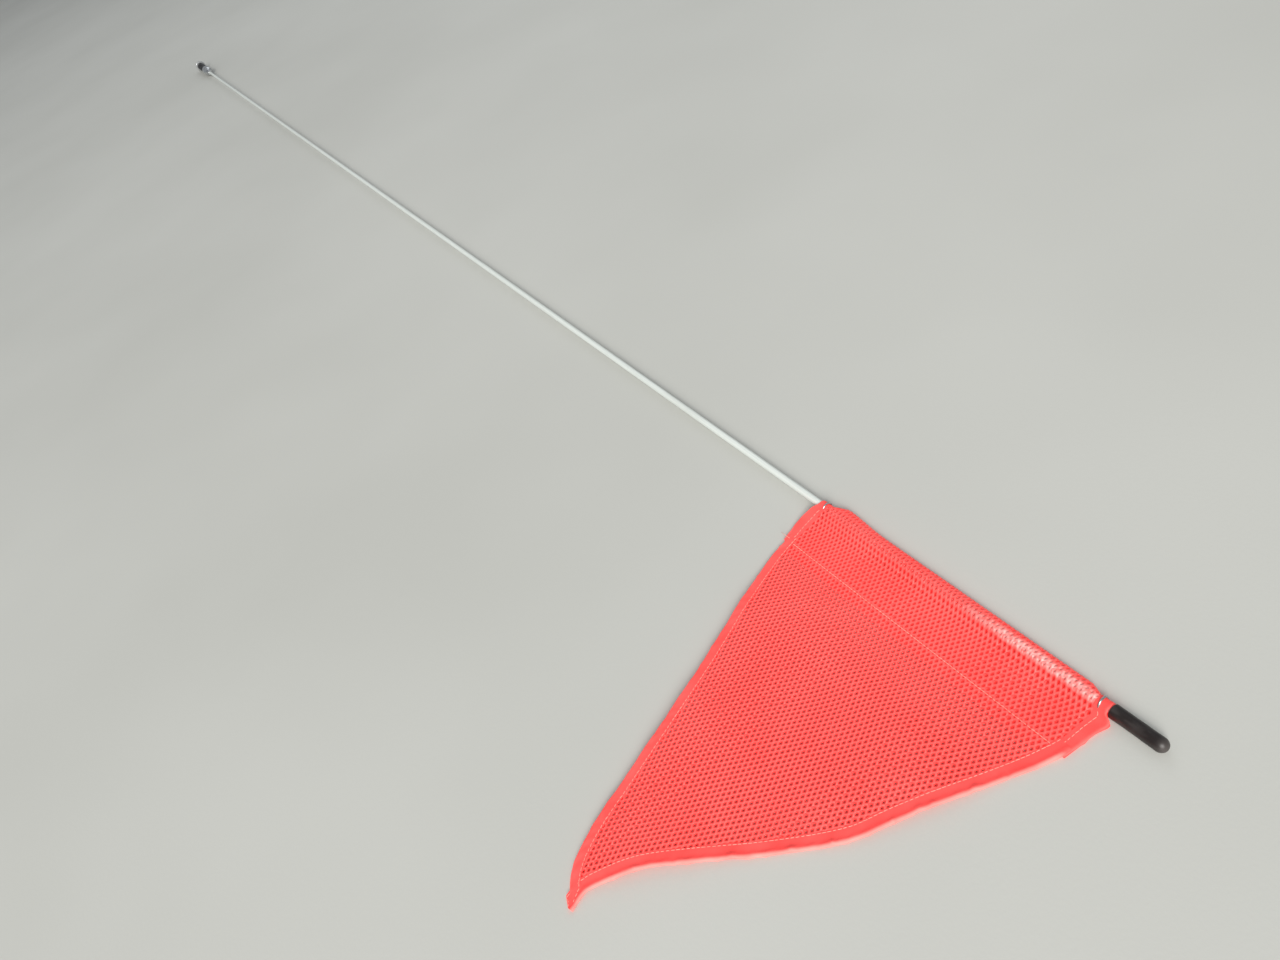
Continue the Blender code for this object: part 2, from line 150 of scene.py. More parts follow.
class Bench:
    """A material under construction: its node tree and its Principled shader."""

    def __init__(self, name: str) -> None:
        """Start a material with that name."""
        self.material = bpy.data.materials.new(name)
        self.material.use_nodes = True
        self.tree = self.material.node_tree
        self.shader = self.tree.nodes["Principled BSDF"]

    def feed(self, socket: bpy.types.NodeSocket, value: Any) -> None:
        """Link a signal to a socket, or set the socket to a constant."""
        if isinstance(value, Signal):
            self.tree.links.new(value.socket, socket)
        else:
            socket.default_value = value

    def node(self, kind: str, settings: Optional[Mapping[str, Any]] = None,
             sockets: Optional[Mapping[Union[int, str], Any]] = None) -> bpy.types.Node:
        """Add a node.

        Args:
            kind: the node's type.
            settings: its own properties, which are set first.
            sockets: values or signals for its inputs, by name or number.

        Returns:
            The node.
        """
        made = self.tree.nodes.new(kind)
        for key, value in (settings or {}).items():
            setattr(made, key, value)
        for key, value in (sockets or {}).items():
            self.feed(made.inputs[key], value)
        return made

    def place(self, scale: Color = (1.0, 1.0, 1.0)) -> Signal:
        """Give the point on the piece in metres, stretched by a scale."""
        coordinates = self.node("ShaderNodeTexCoord")
        made = self.node("ShaderNodeVectorMath", {"operation": "MULTIPLY"},
                         {0: Signal(self, coordinates.outputs["Object"]), 1: scale})
        return Signal(self, made.outputs[0])

    def attribute(self, name: str) -> Signal:
        """Read a number that the mesh stores at its points."""
        made = self.node("ShaderNodeAttribute", {"attribute_name": name})
        return Signal(self, made.outputs["Fac"])

    def noise(self, where: Signal, scale: float, detail: float = 3.0) -> Signal:
        """Give fractal noise from 0 to 1."""
        made = self.node("ShaderNodeTexNoise", None,
                         {"Vector": where, "Scale": scale, "Detail": detail})
        return Signal(self, made.outputs["Fac"])

    def cells(self, where: Signal, scale: float) -> Signal:
        """Give the distance to the nearest point of a random pattern."""
        made = self.node("ShaderNodeTexVoronoi", None, {"Vector": where, "Scale": scale})
        return Signal(self, made.outputs["Distance"])

    def blend(self, share: Value, first: Union[Color, Signal],
              second: Union[Color, Signal]) -> Signal:
        """Mix two colours.

        Args:
            share: 0 for the first colour, 1 for the second.
            first: a colour or a signal.
            second: a colour or a signal.

        Returns:
            The mixed colour.
        """
        ends = [end if isinstance(end, Signal) else (*end, 1.0) for end in (first, second)]
        made = self.node("ShaderNodeMix", {"data_type": "RGBA"},
                         {0: share, 6: ends[0], 7: ends[1]})
        return Signal(self, made.outputs[2])

    def relief(self, height: Signal, depth: float, strength: float = 1.0) -> None:
        """Raise the surface by a height signal, depth metres from 0 to 1."""
        made = self.node("ShaderNodeBump", None,
                         {"Height": height, "Distance": depth, "Strength": strength})
        self.feed(self.shader.inputs["Normal"], Signal(self, made.outputs[0]))

    def finish(self, **sockets: Any) -> Material:
        """Feed the shader.

        Args:
            sockets: values or signals by socket name, with _ for a space.

        Returns:
            The material.
        """
        for key, value in sockets.items():
            if isinstance(value, tuple) and len(value) == 3:
                value = (*value, 1.0)
            self.feed(self.shader.inputs[key.replace("_", " ")], value)
        return self.material


# -------------------------------------------------------------------- finishes


@dataclass(frozen=True)
class KnitYarn:
    """Fluorescent polyester mesh: coated yarn, with a painted highlight on the crowns of its ribs,
    painted shade round its holes and a painted glow.
    """

    deep: Color = (0.98, 0.045, 0.038)
    bright: Color = (1.0, 0.124, 0.112)
    thin: Color = (1.0, 0.56, 0.52)
    painted_glow: float = 0.30
    filament: float = 2600.0
    cloud: float = 18.0
    lot: float = 330.0
    depth: float = 0.00012

    def make(self) -> Material:
        """Build the material."""
        bench = Bench("fluorescent_mesh")
        crown = bench.attribute("crown")
        where = bench.place()
        cloudy = bench.noise(where, self.cloud, 2.0)
        strands = bench.noise(where, self.filament, 2.0)
        # painted light: the crown mark paints a highlight on the rib crests and shade at the hole
        # rims; the filaments and clouds are the yarn's own tone
        shade = (crown * 0.80 + strands * 0.25 + (cloudy - 0.5) * 0.45).between(0.25, 1.0)
        lots = bench.noise(where, self.lot, 1.0)
        thin = (bench.attribute("thin") * (lots * 1.6 + 0.1 - crown * 0.35)).between(0.14, 1.15)
        base = bench.blend(thin, bench.blend(shade, self.deep, self.bright), self.thin)
        bench.relief(strands, self.depth, 0.8)
        # painted glow: the emission, in the base colour, lifts the shade of the knit's hollows and
        # stands in for the dye's fluorescence
        return bench.finish(Base_Color=base, Roughness=0.62 - crown * 0.14,
                            Emission_Color=base, Emission_Strength=self.painted_glow)


@dataclass(frozen=True)
class WovenTape:
    """Fluorescent binding tape with fine crosswise ribs, a few soiled spots, a painted highlight
    along its folded rim and a painted glow.
    """

    deep: Color = (0.98, 0.045, 0.040)
    bright: Color = (1.0, 0.105, 0.095)
    # colour of the painted highlight on the tape's folded rim
    rubbed_and_highlit: Color = (1.0, 0.330, 0.290)
    rib: float = 0.00055
    pick_rate: float = 0.8
    fuzz: float = 3200.0
    cloud: float = 45.0
    depth: float = 0.00010
    painted_glow: float = 0.25

    def make(self) -> Material:
        """Build the material."""
        bench = Bench("fluorescent_tape")
        along = bench.attribute("along")
        across = bench.attribute("across")
        where = bench.place()
        turn = 2 * math.pi / self.rib
        ribs = (along * turn).sine() * 0.5 + 0.5
        picks = (across * (turn * self.pick_rate)).sine() * 0.5 + 0.5
        weave = ribs * 0.65 + picks * 0.35
        fuzz = bench.noise(where, self.fuzz, 2.0)
        cloudy = bench.noise(where, self.cloud)
        shade = (weave * 0.30 + fuzz * 0.25 + cloudy * 0.75).between(0.25, 0.95)
        # painted highlight: the rim mark pales the tape's folded rim as if lit, made patchy by the
        # clouds and the weave
        rim = bench.attribute("rim") * (cloudy * 0.7 + weave * 0.2 + 0.35)
        bench.relief(weave * 0.8 + fuzz * 0.4, self.depth, 0.9)
        base = bench.blend(rim.between(0.15, 1.05), bench.blend(shade, self.deep, self.bright),
                           self.rubbed_and_highlit)
        # painted glow: the emission, in the base colour, lifts the tape's shade and stands in for
        # the dye's fluorescence
        return bench.finish(Base_Color=base, Roughness=0.72 - weave * 0.12,
                            Emission_Color=base, Emission_Strength=self.painted_glow)


@dataclass(frozen=True)
class SpunThread:
    """Pale sewing thread with twisted plies."""

    deep: Color = (0.88, 0.20, 0.16)
    bright: Color = (1.0, 0.50, 0.42)
    ply: float = 3000.0
    lot: float = 60.0
    depth: float = 0.00010

    def make(self) -> Material:
        """Build the material."""
        bench = Bench("sewing_thread")
        where = bench.place()
        plies = bench.noise(where, self.ply, 1.0)
        lots = bench.noise(where, self.lot, 2.0)
        bench.relief(plies, self.depth)
        base = bench.blend((plies * 0.6 + lots * 0.5).between(0.3, 0.8), self.deep, self.bright)
        return bench.finish(Base_Color=base, Roughness=0.75 - plies * 0.2)


@dataclass(frozen=True)
class PlatedSteel:
    """Zinc-plated steel: fine turning marks, dull patches and a few dark specks."""

    name: str = "zinc_steel"
    clean: Color = (0.66, 0.67, 0.68)
    dull: Color = (0.40, 0.41, 0.41)
    turning: float = 5200.0
    patch: float = 260.0
    speck: float = 900.0
    depth: float = 0.00004

    def make(self) -> Material:
        """Build the material."""
        bench = Bench(self.name)
        marks = bench.noise(bench.place((1.0, 0.04, 0.04)), self.turning, 2.0)
        where = bench.place()
        patches = bench.noise(where, self.patch, 4.0)
        specks = bench.cells(where, self.speck).between(0.10, 0.02)
        worn = (patches.between(0.40, 0.72) + specks * 0.5).between(0.0, 1.0)
        bench.relief(marks + patches * 0.5, self.depth, 0.6)
        return bench.finish(Base_Color=bench.blend(worn, self.clean, self.dull), Metallic=1.0,
                            Roughness=0.24 + worn * 0.22 + marks * 0.08)


@dataclass(frozen=True)
class CoatedSpring:
    """Black coated spring steel, rubbed lighter on the crowns of its coils."""

    coating: Color = (0.016, 0.016, 0.017)
    rubbed_and_highlit: Color = (0.10, 0.10, 0.10)
    grain: float = 1800.0
    patch: float = 190.0
    depth: float = 0.00006

    def make(self) -> Material:
        """Build the material."""
        bench = Bench("black_steel")
        where = bench.place()
        grain = bench.noise(where, self.grain)
        patches = bench.noise(where, self.patch, 4.0)
        rub = (bench.attribute("crown") * patches).between(0.42, 0.70)
        bench.relief(grain, self.depth, 0.7)
        return bench.finish(Base_Color=bench.blend(rub, self.coating, self.rubbed_and_highlit),
                            Roughness=0.42 + grain * 0.2 - rub * 0.1, Metallic=rub * 0.6)


@dataclass(frozen=True)
class PultrudedGlass:
    """White pultruded fibreglass: long faint fibres under a thin resin skin."""

    resin: Color = (0.80, 0.83, 0.79)
    fibre: Color = (0.66, 0.70, 0.66)
    dust: Color = (0.50, 0.50, 0.45)
    fibre_scale: float = 2400.0
    bundle_scale: float = 620.0
    grime_scale: float = 110.0
    depth: float = 0.00005

    def make(self) -> Material:
        """Build the material."""
        bench = Bench("white_fibreglass")
        fibres = bench.noise(bench.place((0.012, 1.0, 1.0)), self.fibre_scale)
        bundles = bench.noise(bench.place((0.006, 1.0, 1.0)), self.bundle_scale, 2.0)
        dusty = bench.noise(bench.place((0.12, 1.0, 1.0)), self.grime_scale, 4.0)
        grime = dusty.between(0.55, 0.85)
        strand = (fibres * 0.6 + bundles * 0.4).between(0.35, 0.68)
        base = bench.blend(grime * 0.35, bench.blend(strand, self.resin, self.fibre), self.dust)
        bench.relief(fibres, self.depth, 0.7)
        return bench.finish(Base_Color=base, Roughness=0.34 + strand * 0.12 + grime * 0.15,
                            Coat_Weight=0.25 - grime * 0.2)


@dataclass(frozen=True)
class DippedVinyl:
    """Soft black dipped vinyl, a little dusty, with a faint orange-peel skin and a painted
    highlight on the cap's rounded end.
    """

    skin: Color = (0.014, 0.009, 0.008)
    dust: Color = (0.075, 0.064, 0.060)
    peel: float = 900.0
    patch: float = 210.0
    depth: float = 0.00010

    def make(self) -> Material:
        """Build the material."""
        bench = Bench("black_vinyl")
        peel = bench.noise(bench.place(), self.peel)
        dusty = bench.noise(bench.place((0.35, 1.0, 1.0)), self.patch, 4.0)
        patches = dusty.between(0.45, 0.75)
        # worn mixes the vinyl's dust patches with a painted highlight that grows over the rounded
        # end, both in the dust colour
        worn = (patches * 0.45 + bench.attribute("scuff") * 0.75).between(0.0, 1.0)
        bench.relief(peel, self.depth, 0.6)
        return bench.finish(Base_Color=bench.blend(worn, self.skin, self.dust),
                            Roughness=0.38 + patches * 0.22)


@dataclass(frozen=True)
class StudioFloor:
    """A plain pale floor, very slightly uneven in tone."""

    light: Color = (0.58, 0.58, 0.545)
    dark: Color = (0.53, 0.53, 0.495)
    tone: float = 1.6
    grain: float = 320.0
    depth: float = 0.0004

    def make(self) -> Material:
        """Build the material."""
        bench = Bench("studio_floor")
        tone = bench.noise(bench.place(), self.tone).between(0.3, 0.7)
        grain = bench.noise(bench.place(), self.grain, 2.0)
        bench.relief(grain, self.depth, 0.15)
        return bench.finish(Base_Color=bench.blend(tone, self.light, self.dark),
                            Roughness=0.62 + grain * 0.1)


class Finish(Enum):
    """The finishes that the pieces take, by the record's material slot."""

    ZINC = ("zinc_steel", PlatedSteel())
    RING = ("ring_wire", PlatedSteel("ring_wire", (0.62, 0.63, 0.64), (0.30, 0.30, 0.30), 3200.0))
    SPRING = ("black_steel", CoatedSpring())
    GLASS = ("white_fibreglass", PultrudedGlass())
    VINYL = ("black_vinyl", DippedVinyl())
    MESH = ("fluorescent_mesh", KnitYarn())
    TAPE = ("fluorescent_tape", WovenTape())
    THREAD = ("sewing_thread", SpunThread())

    @property
    def slot(self) -> str:
        """The record's slot name."""
        return self.value[0]

    def material(self) -> Material:
        """The finish's material, made the first time it is asked for."""
        return bpy.data.materials.get("dressed_" + self.slot) or self._made()

    def _made(self) -> Material:
        """Make the material under its own name."""
        made = self.value[1].make()
        made.name = "dressed_" + self.slot
        return made


# -------------------------------------------------------------------- geometry


def ease(low: float, high: float, value: Array) -> Array:
    """Rise smoothly from 0 at low to 1 at high."""
    u = np.clip((value - low) / (high - low), 0.0, 1.0)
    return u * u * (3 - 2 * u)


def solid(name: str, points: Array, faces: Sequence[Sequence[int]], finish: Finish,
          marks: Optional[Mapping[str, Array]] = None, sharp: float = 40.0,
          ) -> Piece:
    """Make a smooth-shaded mesh object whose faces point out.

    Args:
        name: the piece's name.
        points: its points, one a row.
        faces: point numbers of each face.
        finish: what it is made of.
        marks: numbers for its material to read, one a point.
        sharp: angle in degrees above which an edge stays sharp.

    Returns:
        The object, linked to the scene, with the finish's slot.
    """
    mesh = bpy.data.meshes.new(name)
    mesh.from_pydata(points.tolist(), [], [list(face) for face in faces])
    mesh.calc_loop_triangles()
    corners = np.empty(3 * len(mesh.loop_triangles), dtype=np.int32)
    mesh.loop_triangles.foreach_get("vertices", corners)
    a, b, c = (points[corners[i::3]] - points.mean(axis=0) for i in range(3))
    if (a * np.cross(b, c)).sum() < 0:
        mesh.flip_normals()
    for key, values in (marks or {}).items():
        layer = mesh.attributes.new(key, "FLOAT", "POINT")
        layer.data.foreach_set("value", values.astype(np.float32))
    mesh.shade_smooth()
    mesh.set_sharp_from_angle(angle=math.radians(sharp))
    mesh.materials.append(finish.material())
    made = bpy.data.objects.new(name, mesh)
    bpy.context.scene.collection.objects.link(made)
    log.info("%s: %d faces, %s", name, len(mesh.polygons), finish.slot)
    return made


def band_faces(rows: int, width: int, start: int = 0) -> list[tuple[int, int, int, int]]:
    """List the quads between successive closed rows of points.

    Args:
        rows: how many rows there are.
        width: how many points a row has.
        start: the first point's number.

    Returns:
        The quads.
    """
    quads = []
    for row in range(rows - 1):
        near = start + row * width
        for i in range(width):
            j = (i + 1) % width
            quads.append((near + i, near + j, near + width + j, near + width + i))
    return quads


@dataclass
class Drawn:
    """Points and faces that collect the closed bodies of one piece."""

    def __post_init__(self) -> None:
        """Start with nothing drawn."""
        self.points: list[Array] = []
        self.faces: list[Sequence[int]] = []
        self.count = 0

    def loft(self, rows: Array) -> None:
        """Add a body through closed rows of points, closed by a face at each end."""
        total, width = rows.shape[:2]
        self.faces += band_faces(total, width, self.count)
        self.faces.append(tuple(self.count + i for i in reversed(range(width))))
        last = self.count + (total - 1) * width
        self.faces.append(tuple(last + i for i in range(width)))
        self.points.append(rows.reshape(-1, 3))
        self.count += total * width

    def all_points(self) -> Array:
        """Join the points of all bodies."""
        return np.concatenate(self.points)


def lofted(name: str, rows: Array, finish: Finish,
           marks: Optional[Mapping[str, Array]] = None, sharp: float = 40.0,
           ) -> Piece:
    """Make a piece of one body through closed rows of points, as solid() does."""
    drawn = Drawn()
    drawn.loft(rows)
    return solid(name, drawn.all_points(), drawn.faces, finish, marks, sharp)


def sweep(path: Array, radii: Array, sides: int) -> Array:
    """Carry a circle along a path without twisting it.

    Args:
        path: the points of the centreline.
        radii: the circle's radius at each point.
        sides: how many points the circle has.

    Returns:
        Rows of points, one row for each point of the path.
    """
    heading = np.gradient(path, axis=0)
    heading /= np.linalg.norm(heading, axis=1)[:, None]
    helper = np.eye(3)[np.argmin(np.abs(heading[0]))]
    across = np.cross(heading[0], helper)
    angles = 2 * math.pi * np.arange(sides) / sides
    rows = []
    for centre, ahead, radius in zip(path, heading, radii):
        across = across - ahead * (across @ ahead)
        across /= np.linalg.norm(across)
        aside = np.cross(ahead, across)
        ring = np.outer(np.cos(angles), across) + np.outer(np.sin(angles), aside)
        rows.append(centre + radius * ring)
    return np.array(rows)


def rounded(corners: Sequence[tuple[float, float, float]]) -> list[Pair]:
    """Round the corners of a profile.

    Args:
        corners: (along, radius, rounding) of each corner.

    Returns:
        The profile's points.
    """
    steps = 4
    most = 0.45
    last = len(corners) - 1
    profile = [corners[0][:2]]
    for i in range(1, last):
        here = np.array(corners[i][:2])
        ends = []
        for other in (corners[i - 1], corners[i + 1]):
            away = np.array(other[:2]) - here
            span = np.linalg.norm(away)
            ends.append(here + away / span * min(corners[i][2], span * most))
        for k in range(steps + 1):
            u = k / steps
            point = (1 - u) ** 2 * ends[0] + 2 * u * (1 - u) * here + u * u * ends[1]
            profile.append((float(point[0]), float(point[1])))
    profile.append(corners[last][:2])
    return profile


@dataclass
class RodLine:
    """The axis of the whole whip, from the base flange to the tip."""

    origin: Vector
    ahead: Vector

    def __post_init__(self) -> None:
        """Work out the two directions across the rod."""
        self.side = Vector((0.0, 1.0, 0.0))
        self.up = self.ahead.cross(self.side).normalized() * -1.0
        if self.up.z < 0:
            self.up.negate()

    @classmethod
    def from_frame(cls) -> "RodLine":
        """Read the axis from the flag's swivel and the base's mounting face."""
        swivel = next(j for j in frame["joints"] if j["name"] == "flag_swivel")
        pivot = Vector(swivel["pos_m"])
        ahead = Vector(swivel["axis"]).normalized()
        if ahead.x < 0:
            ahead.negate()
        flange = next(m for m in frame["record"]["mounts"] if m["name"] == "mounting_face")
        reach = flange["pos_m"][0] - pivot.x
        return cls(pivot + ahead * (reach / ahead.x), ahead)

    def points(self, along: Array, radius: Array, angle: Array) -> Array:
        """Give points around the axis.

        Args:
            along: distances from the flange's rear face.
            radius: distances from the axis.
            angle: angles about it, from the side.

        Returns:
            The points, with the shape of the arguments and a last axis of 3.
        """
        out = radius * np.cos(angle)
        rise = radius * np.sin(angle)
        return (np.array(self.origin) + np.multiply.outer(along, np.array(self.ahead))
                + np.multiply.outer(out, np.array(self.side))
                + np.multiply.outer(rise, np.array(self.up)))

    def turn(self, name: str, profile: Sequence[Pair], finish: Finish, sides: int = 96,
             shape: Optional[Shape] = None, closed: bool = False,
             sharp: float = 40.0) -> Piece:
        """Turn a profile about the axis.

        Args:
            name: the piece's name.
            profile: (along, radius) points.
            finish: what it is made of.
            sides: how many facets go round.
            shape: changes a grid of (along, radius, angle) to other radii.
            closed: joins the profile's end to its start, as round a bore.
            sharp: angle in degrees above which an edge stays sharp.

        Returns:
            The piece.
        """
        angles = 2 * math.pi * np.arange(sides) / sides
        along, radius = np.array(profile).T
        grid_along, grid_angle = np.meshgrid(along, angles, indexing="ij")
        grid_radius = np.repeat(radius[:, None], sides, axis=1)
        if shape:
            grid_radius = shape(grid_along, grid_radius, grid_angle)
        rows = self.points(grid_along, grid_radius, grid_angle)
        if not closed:
            return lofted(name, rows, finish, sharp=sharp)
        faces = band_faces(len(rows), sides)
        last = (len(rows) - 1) * sides
        for i in range(sides):
            j = (i + 1) % sides
            faces.append((last + i, last + j, j, i))
        return solid(name, rows.reshape(-1, 3), faces, finish, sharp=sharp)

    def along(self, x: Array) -> Array:
        """Give the place along the rod of a point's x."""
        return (x - self.origin.x) / self.ahead.x


def node_span(node: str, line: RodLine) -> Pair:
    """Give where a node starts and ends along the rod."""
    return tuple(line.along(corner[0]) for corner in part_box(node))


# ------------------------------------------------------------------ base parts


@dataclass(frozen=True)
class ScrewThread:
    """A rolled V thread about the rod's axis."""

    pitch: float = 0.00125
    depth: float = 0.00062
    flank: float = 1.25
    crest: float = 0.12
    steps: int = 8

    def stations(self, start: float, end: float) -> Array:
        """Give evenly spaced places that follow every crest and root."""
        count = max(2, round(abs(end - start) / self.pitch * self.steps))
        return np.linspace(start, end, count + 1)

    def depth_at(self, along: Array, angle: Array) -> Array:
        """Give how deep the groove is, from 0 at a crest to depth at a root."""
        phase = (along / self.pitch - angle / (2 * math.pi)) % 1.0
        wave = 1 - np.abs(2 * phase - 1)
        return self.depth * np.clip(wave * self.flank - self.crest, 0.0, 1.0)


@dataclass
class BaseFitting:
    """The flanged stud with its washers and nut."""

    line: RodLine
    flange_radius: float = 0.01325
    flange_front: float = 0.005
    stud_radius: float = 0.00395
    stud_end: float = -0.024
    stud_chamfer: float = 0.001
    neck: float = -0.0022
    runout: float = 0.0012
    plug_radius: float = 0.0056
    plug_end: float = 0.024
    hole_radius: float = 0.00425
    washer_radius: float = 0.0095
    lock_radius: float = 0.0068
    lock_gap: float = math.radians(12)
    lock_angle: float = math.pi / 2
    lock_bevel: float = 0.00022
    lock_spring: float = 0.00018
    washer_edge: float = 0.00035
    nut_across_flats: float = 0.0127
    nut_clearance: float = 0.0001
    nut_lead: float = 0.0009
    nut_corner: float = 0.94
    nut_fall: float = 0.0018
    nut_slope: float = 1.7
    thread: ScrewThread = ScrewThread()

    def build(self) -> None:
        """Build the stud, its washers and its nut."""
        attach(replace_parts(self.stud(), "base_stud"), "base")
        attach(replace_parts(self.flat_washer(), "flat_washer"), "washers")
        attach(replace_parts(self.lock_washer(), "lock_washer"), "washers")
        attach(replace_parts(self.nut(), "mounting_nut"), "nut")

    def stud(self) -> Piece:
        """Turn the stud, its flange and its plug in one piece."""
        body = rounded([
            (self.neck, self.stud_radius, 0.0), (-0.0002, self.stud_radius, 0.0004),
            (0.0, self.flange_radius, 0.0007), (self.flange_front, self.flange_radius, 0.0009),
            (self.flange_front, self.plug_radius, 0.0004),
            (self.plug_end, self.plug_radius, 0.0008), (self.plug_end, PINHOLE, 0.0)])
        places = self.thread.stations(self.stud_end, self.neck)
        profile = [(self.stud_end, PINHOLE)] + [(a, self.stud_radius) for a in places] + body

        def cut_thread(along: Array, radius: Array, angle: Array) -> Array:
            """Cut the groove, fading out at the flange and chamfered at the end."""
            fade = 1 - ease(self.neck - self.runout, self.neck, along)
            grooved = radius - self.thread.depth_at(along, angle) * fade
            chamfer = self.stud_radius - self.stud_chamfer + (along - self.stud_end)
            on_thread = (along <= self.neck) & (radius > PINHOLE)
            return np.where(on_thread, np.minimum(grooved, chamfer), radius)

        return self.line.turn("threaded_stud", profile, Finish.ZINC, 72, cut_thread)

    def flat_washer(self) -> Piece:
        """Turn the plain washer, with its punched edge rounded."""
        start, end = node_span("flat_washer", self.line)
        edge, hole, rim = self.washer_edge, self.hole_radius, self.washer_radius
        middle = (hole + rim) / 2
        profile = rounded([
            (end, middle, 0.0), (end, rim, edge), (start, rim, edge / 2),
            (start, hole, edge / 2), (end, hole, edge), (end, middle, 0.0)])[:-1]
        return self.line.turn("plain_washer", profile, Finish.ZINC, closed=True)

    def lock_washer(self) -> Piece:
        """Bend the split washer from square wire, its ends sprung a little apart."""
        start, end = node_span("lock_washer", self.line)
        inner, outer, bevel = self.hole_radius, self.lock_radius, self.lock_bevel
        half = (end - start) / 2 - bevel
        along, radius = np.array([
            (-half + bevel, outer), (half - bevel, outer), (half, outer - bevel),
            (half, inner + bevel), (half - bevel, inner), (-half + bevel, inner),
            (-half, inner + bevel), (-half, outer - bevel)]).T
        first = self.lock_angle + self.lock_gap / 2
        angles = np.linspace(first, first + 2 * math.pi - self.lock_gap, 90)
        shifts = np.linspace(-self.lock_spring, self.lock_spring, len(angles))
        rows = [self.line.points((start + end) / 2 + shift + along, radius,
                                 np.full(len(radius), angle))
                for angle, shift in zip(angles, shifts)]
        return lofted("split_washer", np.array(rows), Finish.ZINC)

    def nut(self) -> Piece:
        """Cut the hexagon nut: chamfered corners and a threaded bore."""
        start, end = node_span("mounting_nut", self.line)
        half_flat = self.nut_across_flats / 2
        face = half_flat * self.nut_corner
        crest = self.stud_radius + self.nut_clearance
        root = crest + self.thread.depth
        inset = [self.nut_fall * (i / 6) ** 1.5 for i in range(1, 7)]
        outer = [(end - a, 1.0) for a in inset] + [(start + a, 1.0) for a in reversed(inset)]
        bore = [(a, 0.0) for a in self.thread.stations(start, end)]
        profile = [(end, root), (end, face)] + outer + [(start, face), (start, root)] + bore[1:-1]

        def hexagon(along: Array, radius: Array, angle: Array) -> Array:
            """Give the hexagon's sides, its chamfer and the thread of its bore."""
            sector = (angle + math.pi / 6) % (math.pi / 3) - math.pi / 6
            from_face = np.minimum(along - start, end - along)
            chamfer = face + from_face * self.nut_slope
            flats = np.minimum(half_flat / np.cos(sector), chamfer)
            groove = self.thread.depth_at(along, angle)
            cone = np.clip(1 - from_face / self.nut_lead, 0.0, 1.0) * self.thread.depth
            inside = np.maximum(crest + groove, crest + cone)
            shaped = np.where(radius > 0.9, flats, radius)
            return np.where(radius == 0.0, inside, shaped)

        return self.line.turn("hex_nut", profile, Finish.ZINC, 72, hexagon,
                              closed=True, sharp=28.0)


@dataclass
class BaseSpring:
    """The closed-coil spring that lets the whip bend over."""

    line: RodLine
    coil_radius: float = 0.0077
    wire_radius: float = 0.0018
    turns: int = 18
    closed_turns: float = 1.0
    end_pitch: float = 0.00372
    open_pitch: float = 0.0042
    per_turn: int = 30
    sides: int = 16
    start: float = 0.0071
    end: float = 0.0819

    def build(self) -> None:
        """Wind the coils between the base and the rod."""
        count = self.turns * self.per_turn
        turn = np.linspace(0.0, self.turns, count + 1)
        tight = 1 - ease(0.0, self.closed_turns, np.minimum(turn, self.turns - turn))
        pitch = self.end_pitch * tight + self.open_pitch * (1 - tight)
        rise = np.concatenate([[0.0], np.cumsum((pitch[1:] + pitch[:-1]) / 2)])
        along = self.start + (self.end - self.start) * rise / rise[-1]
        radius = np.full(count + 1, self.coil_radius)
        path = self.line.points(along, radius, 2 * math.pi * turn)
        rows = sweep(path, np.full(count + 1, self.wire_radius), self.sides)
        offset = rows.reshape(-1, 3) - np.array(self.line.origin)
        from_axis = np.linalg.norm(np.cross(offset, np.array(self.line.ahead)), axis=1)
        crown = (from_axis - self.coil_radius) / self.wire_radius
        made = lofted("spring_coils", rows, Finish.SPRING,
                      {"crown": np.clip(crown, 0.0, 1.0)}, sharp=60.0)
        ends = self.line.points(np.array([self.start, self.end]), np.zeros(2), np.zeros(2))
        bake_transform(made)
        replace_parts(made, "base_spring")


# ------------------------------------------------------------------- whip parts


@dataclass
class WhipRod:
    """The crimped collar and the rod."""

    line: RodLine
    plug_start: float = 0.062
    shoulder: float = 0.084
    body_end: float = 0.112
    nose_end: float = 0.145
    plug_radius: float = 0.0056
    body_radius: float = 0.011
    nose_radius: float = 0.0055
    bore_radius: float = 0.00326
    rod_radius: float = 0.003175
    bore_start: float = 0.0882
    crimps: tuple[float, ...] = (0.123, 0.130, 0.137)
    crimp_depth: float = 0.00035
    crimp_half: float = 0.0016
    rod_edge: float = 0.0003
    rod_lengths: int = 120

    def build(self) -> None:
        """Build both pieces."""
        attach(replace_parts(self.collar(), "rod_ferrule"), "whip")
        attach(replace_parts(self.rod(), "whip_rod"), "whip")

    def collar(self) -> Piece:
        """Turn the collar that joins the spring to the rod, with crimps on its nose."""
        corners = [
            (self.plug_start, PINHOLE, 0.0), (self.plug_start, self.plug_radius, 0.0008),
            (self.shoulder, self.plug_radius, 0.0003), (self.shoulder, self.body_radius, 0.0009),
            (self.body_end - 0.0008, self.body_radius, 0.0012),
            (self.body_end + 0.0052, self.nose_radius + 0.0005, 0.0020)]
        low = self.nose_radius - self.crimp_depth
        for middle in self.crimps:
            corners += [(middle - self.crimp_half, self.nose_radius, 0.0006),
                        (middle - self.crimp_half / 2, low, 0.0005),
                        (middle + self.crimp_half / 2, low, 0.0005),
                        (middle + self.crimp_half, self.nose_radius, 0.0006)]
        corners += [(self.nose_end, self.nose_radius, 0.0007),
                    (self.nose_end, self.bore_radius, 0.0002),
                    (self.bore_start, self.bore_radius, 0.0), (self.bore_start, PINHOLE, 0.0)]
        return self.line.turn("rod_collar", rounded(corners), Finish.ZINC)

    def rod(self) -> Piece:
        """Draw the rod in even lengths."""
        start, end = node_span("whip_rod", self.line)
        edge = self.rod_edge
        profile = [(start, PINHOLE), (start, self.rod_radius - edge)]
        places = np.linspace(start + edge, end - edge, self.rod_lengths + 1)
        profile += [(float(a), self.rod_radius) for a in places]
        profile += [(end, self.rod_radius - edge), (end, PINHOLE)]
        return self.line.turn("glass_rod", profile, Finish.GLASS, 48)


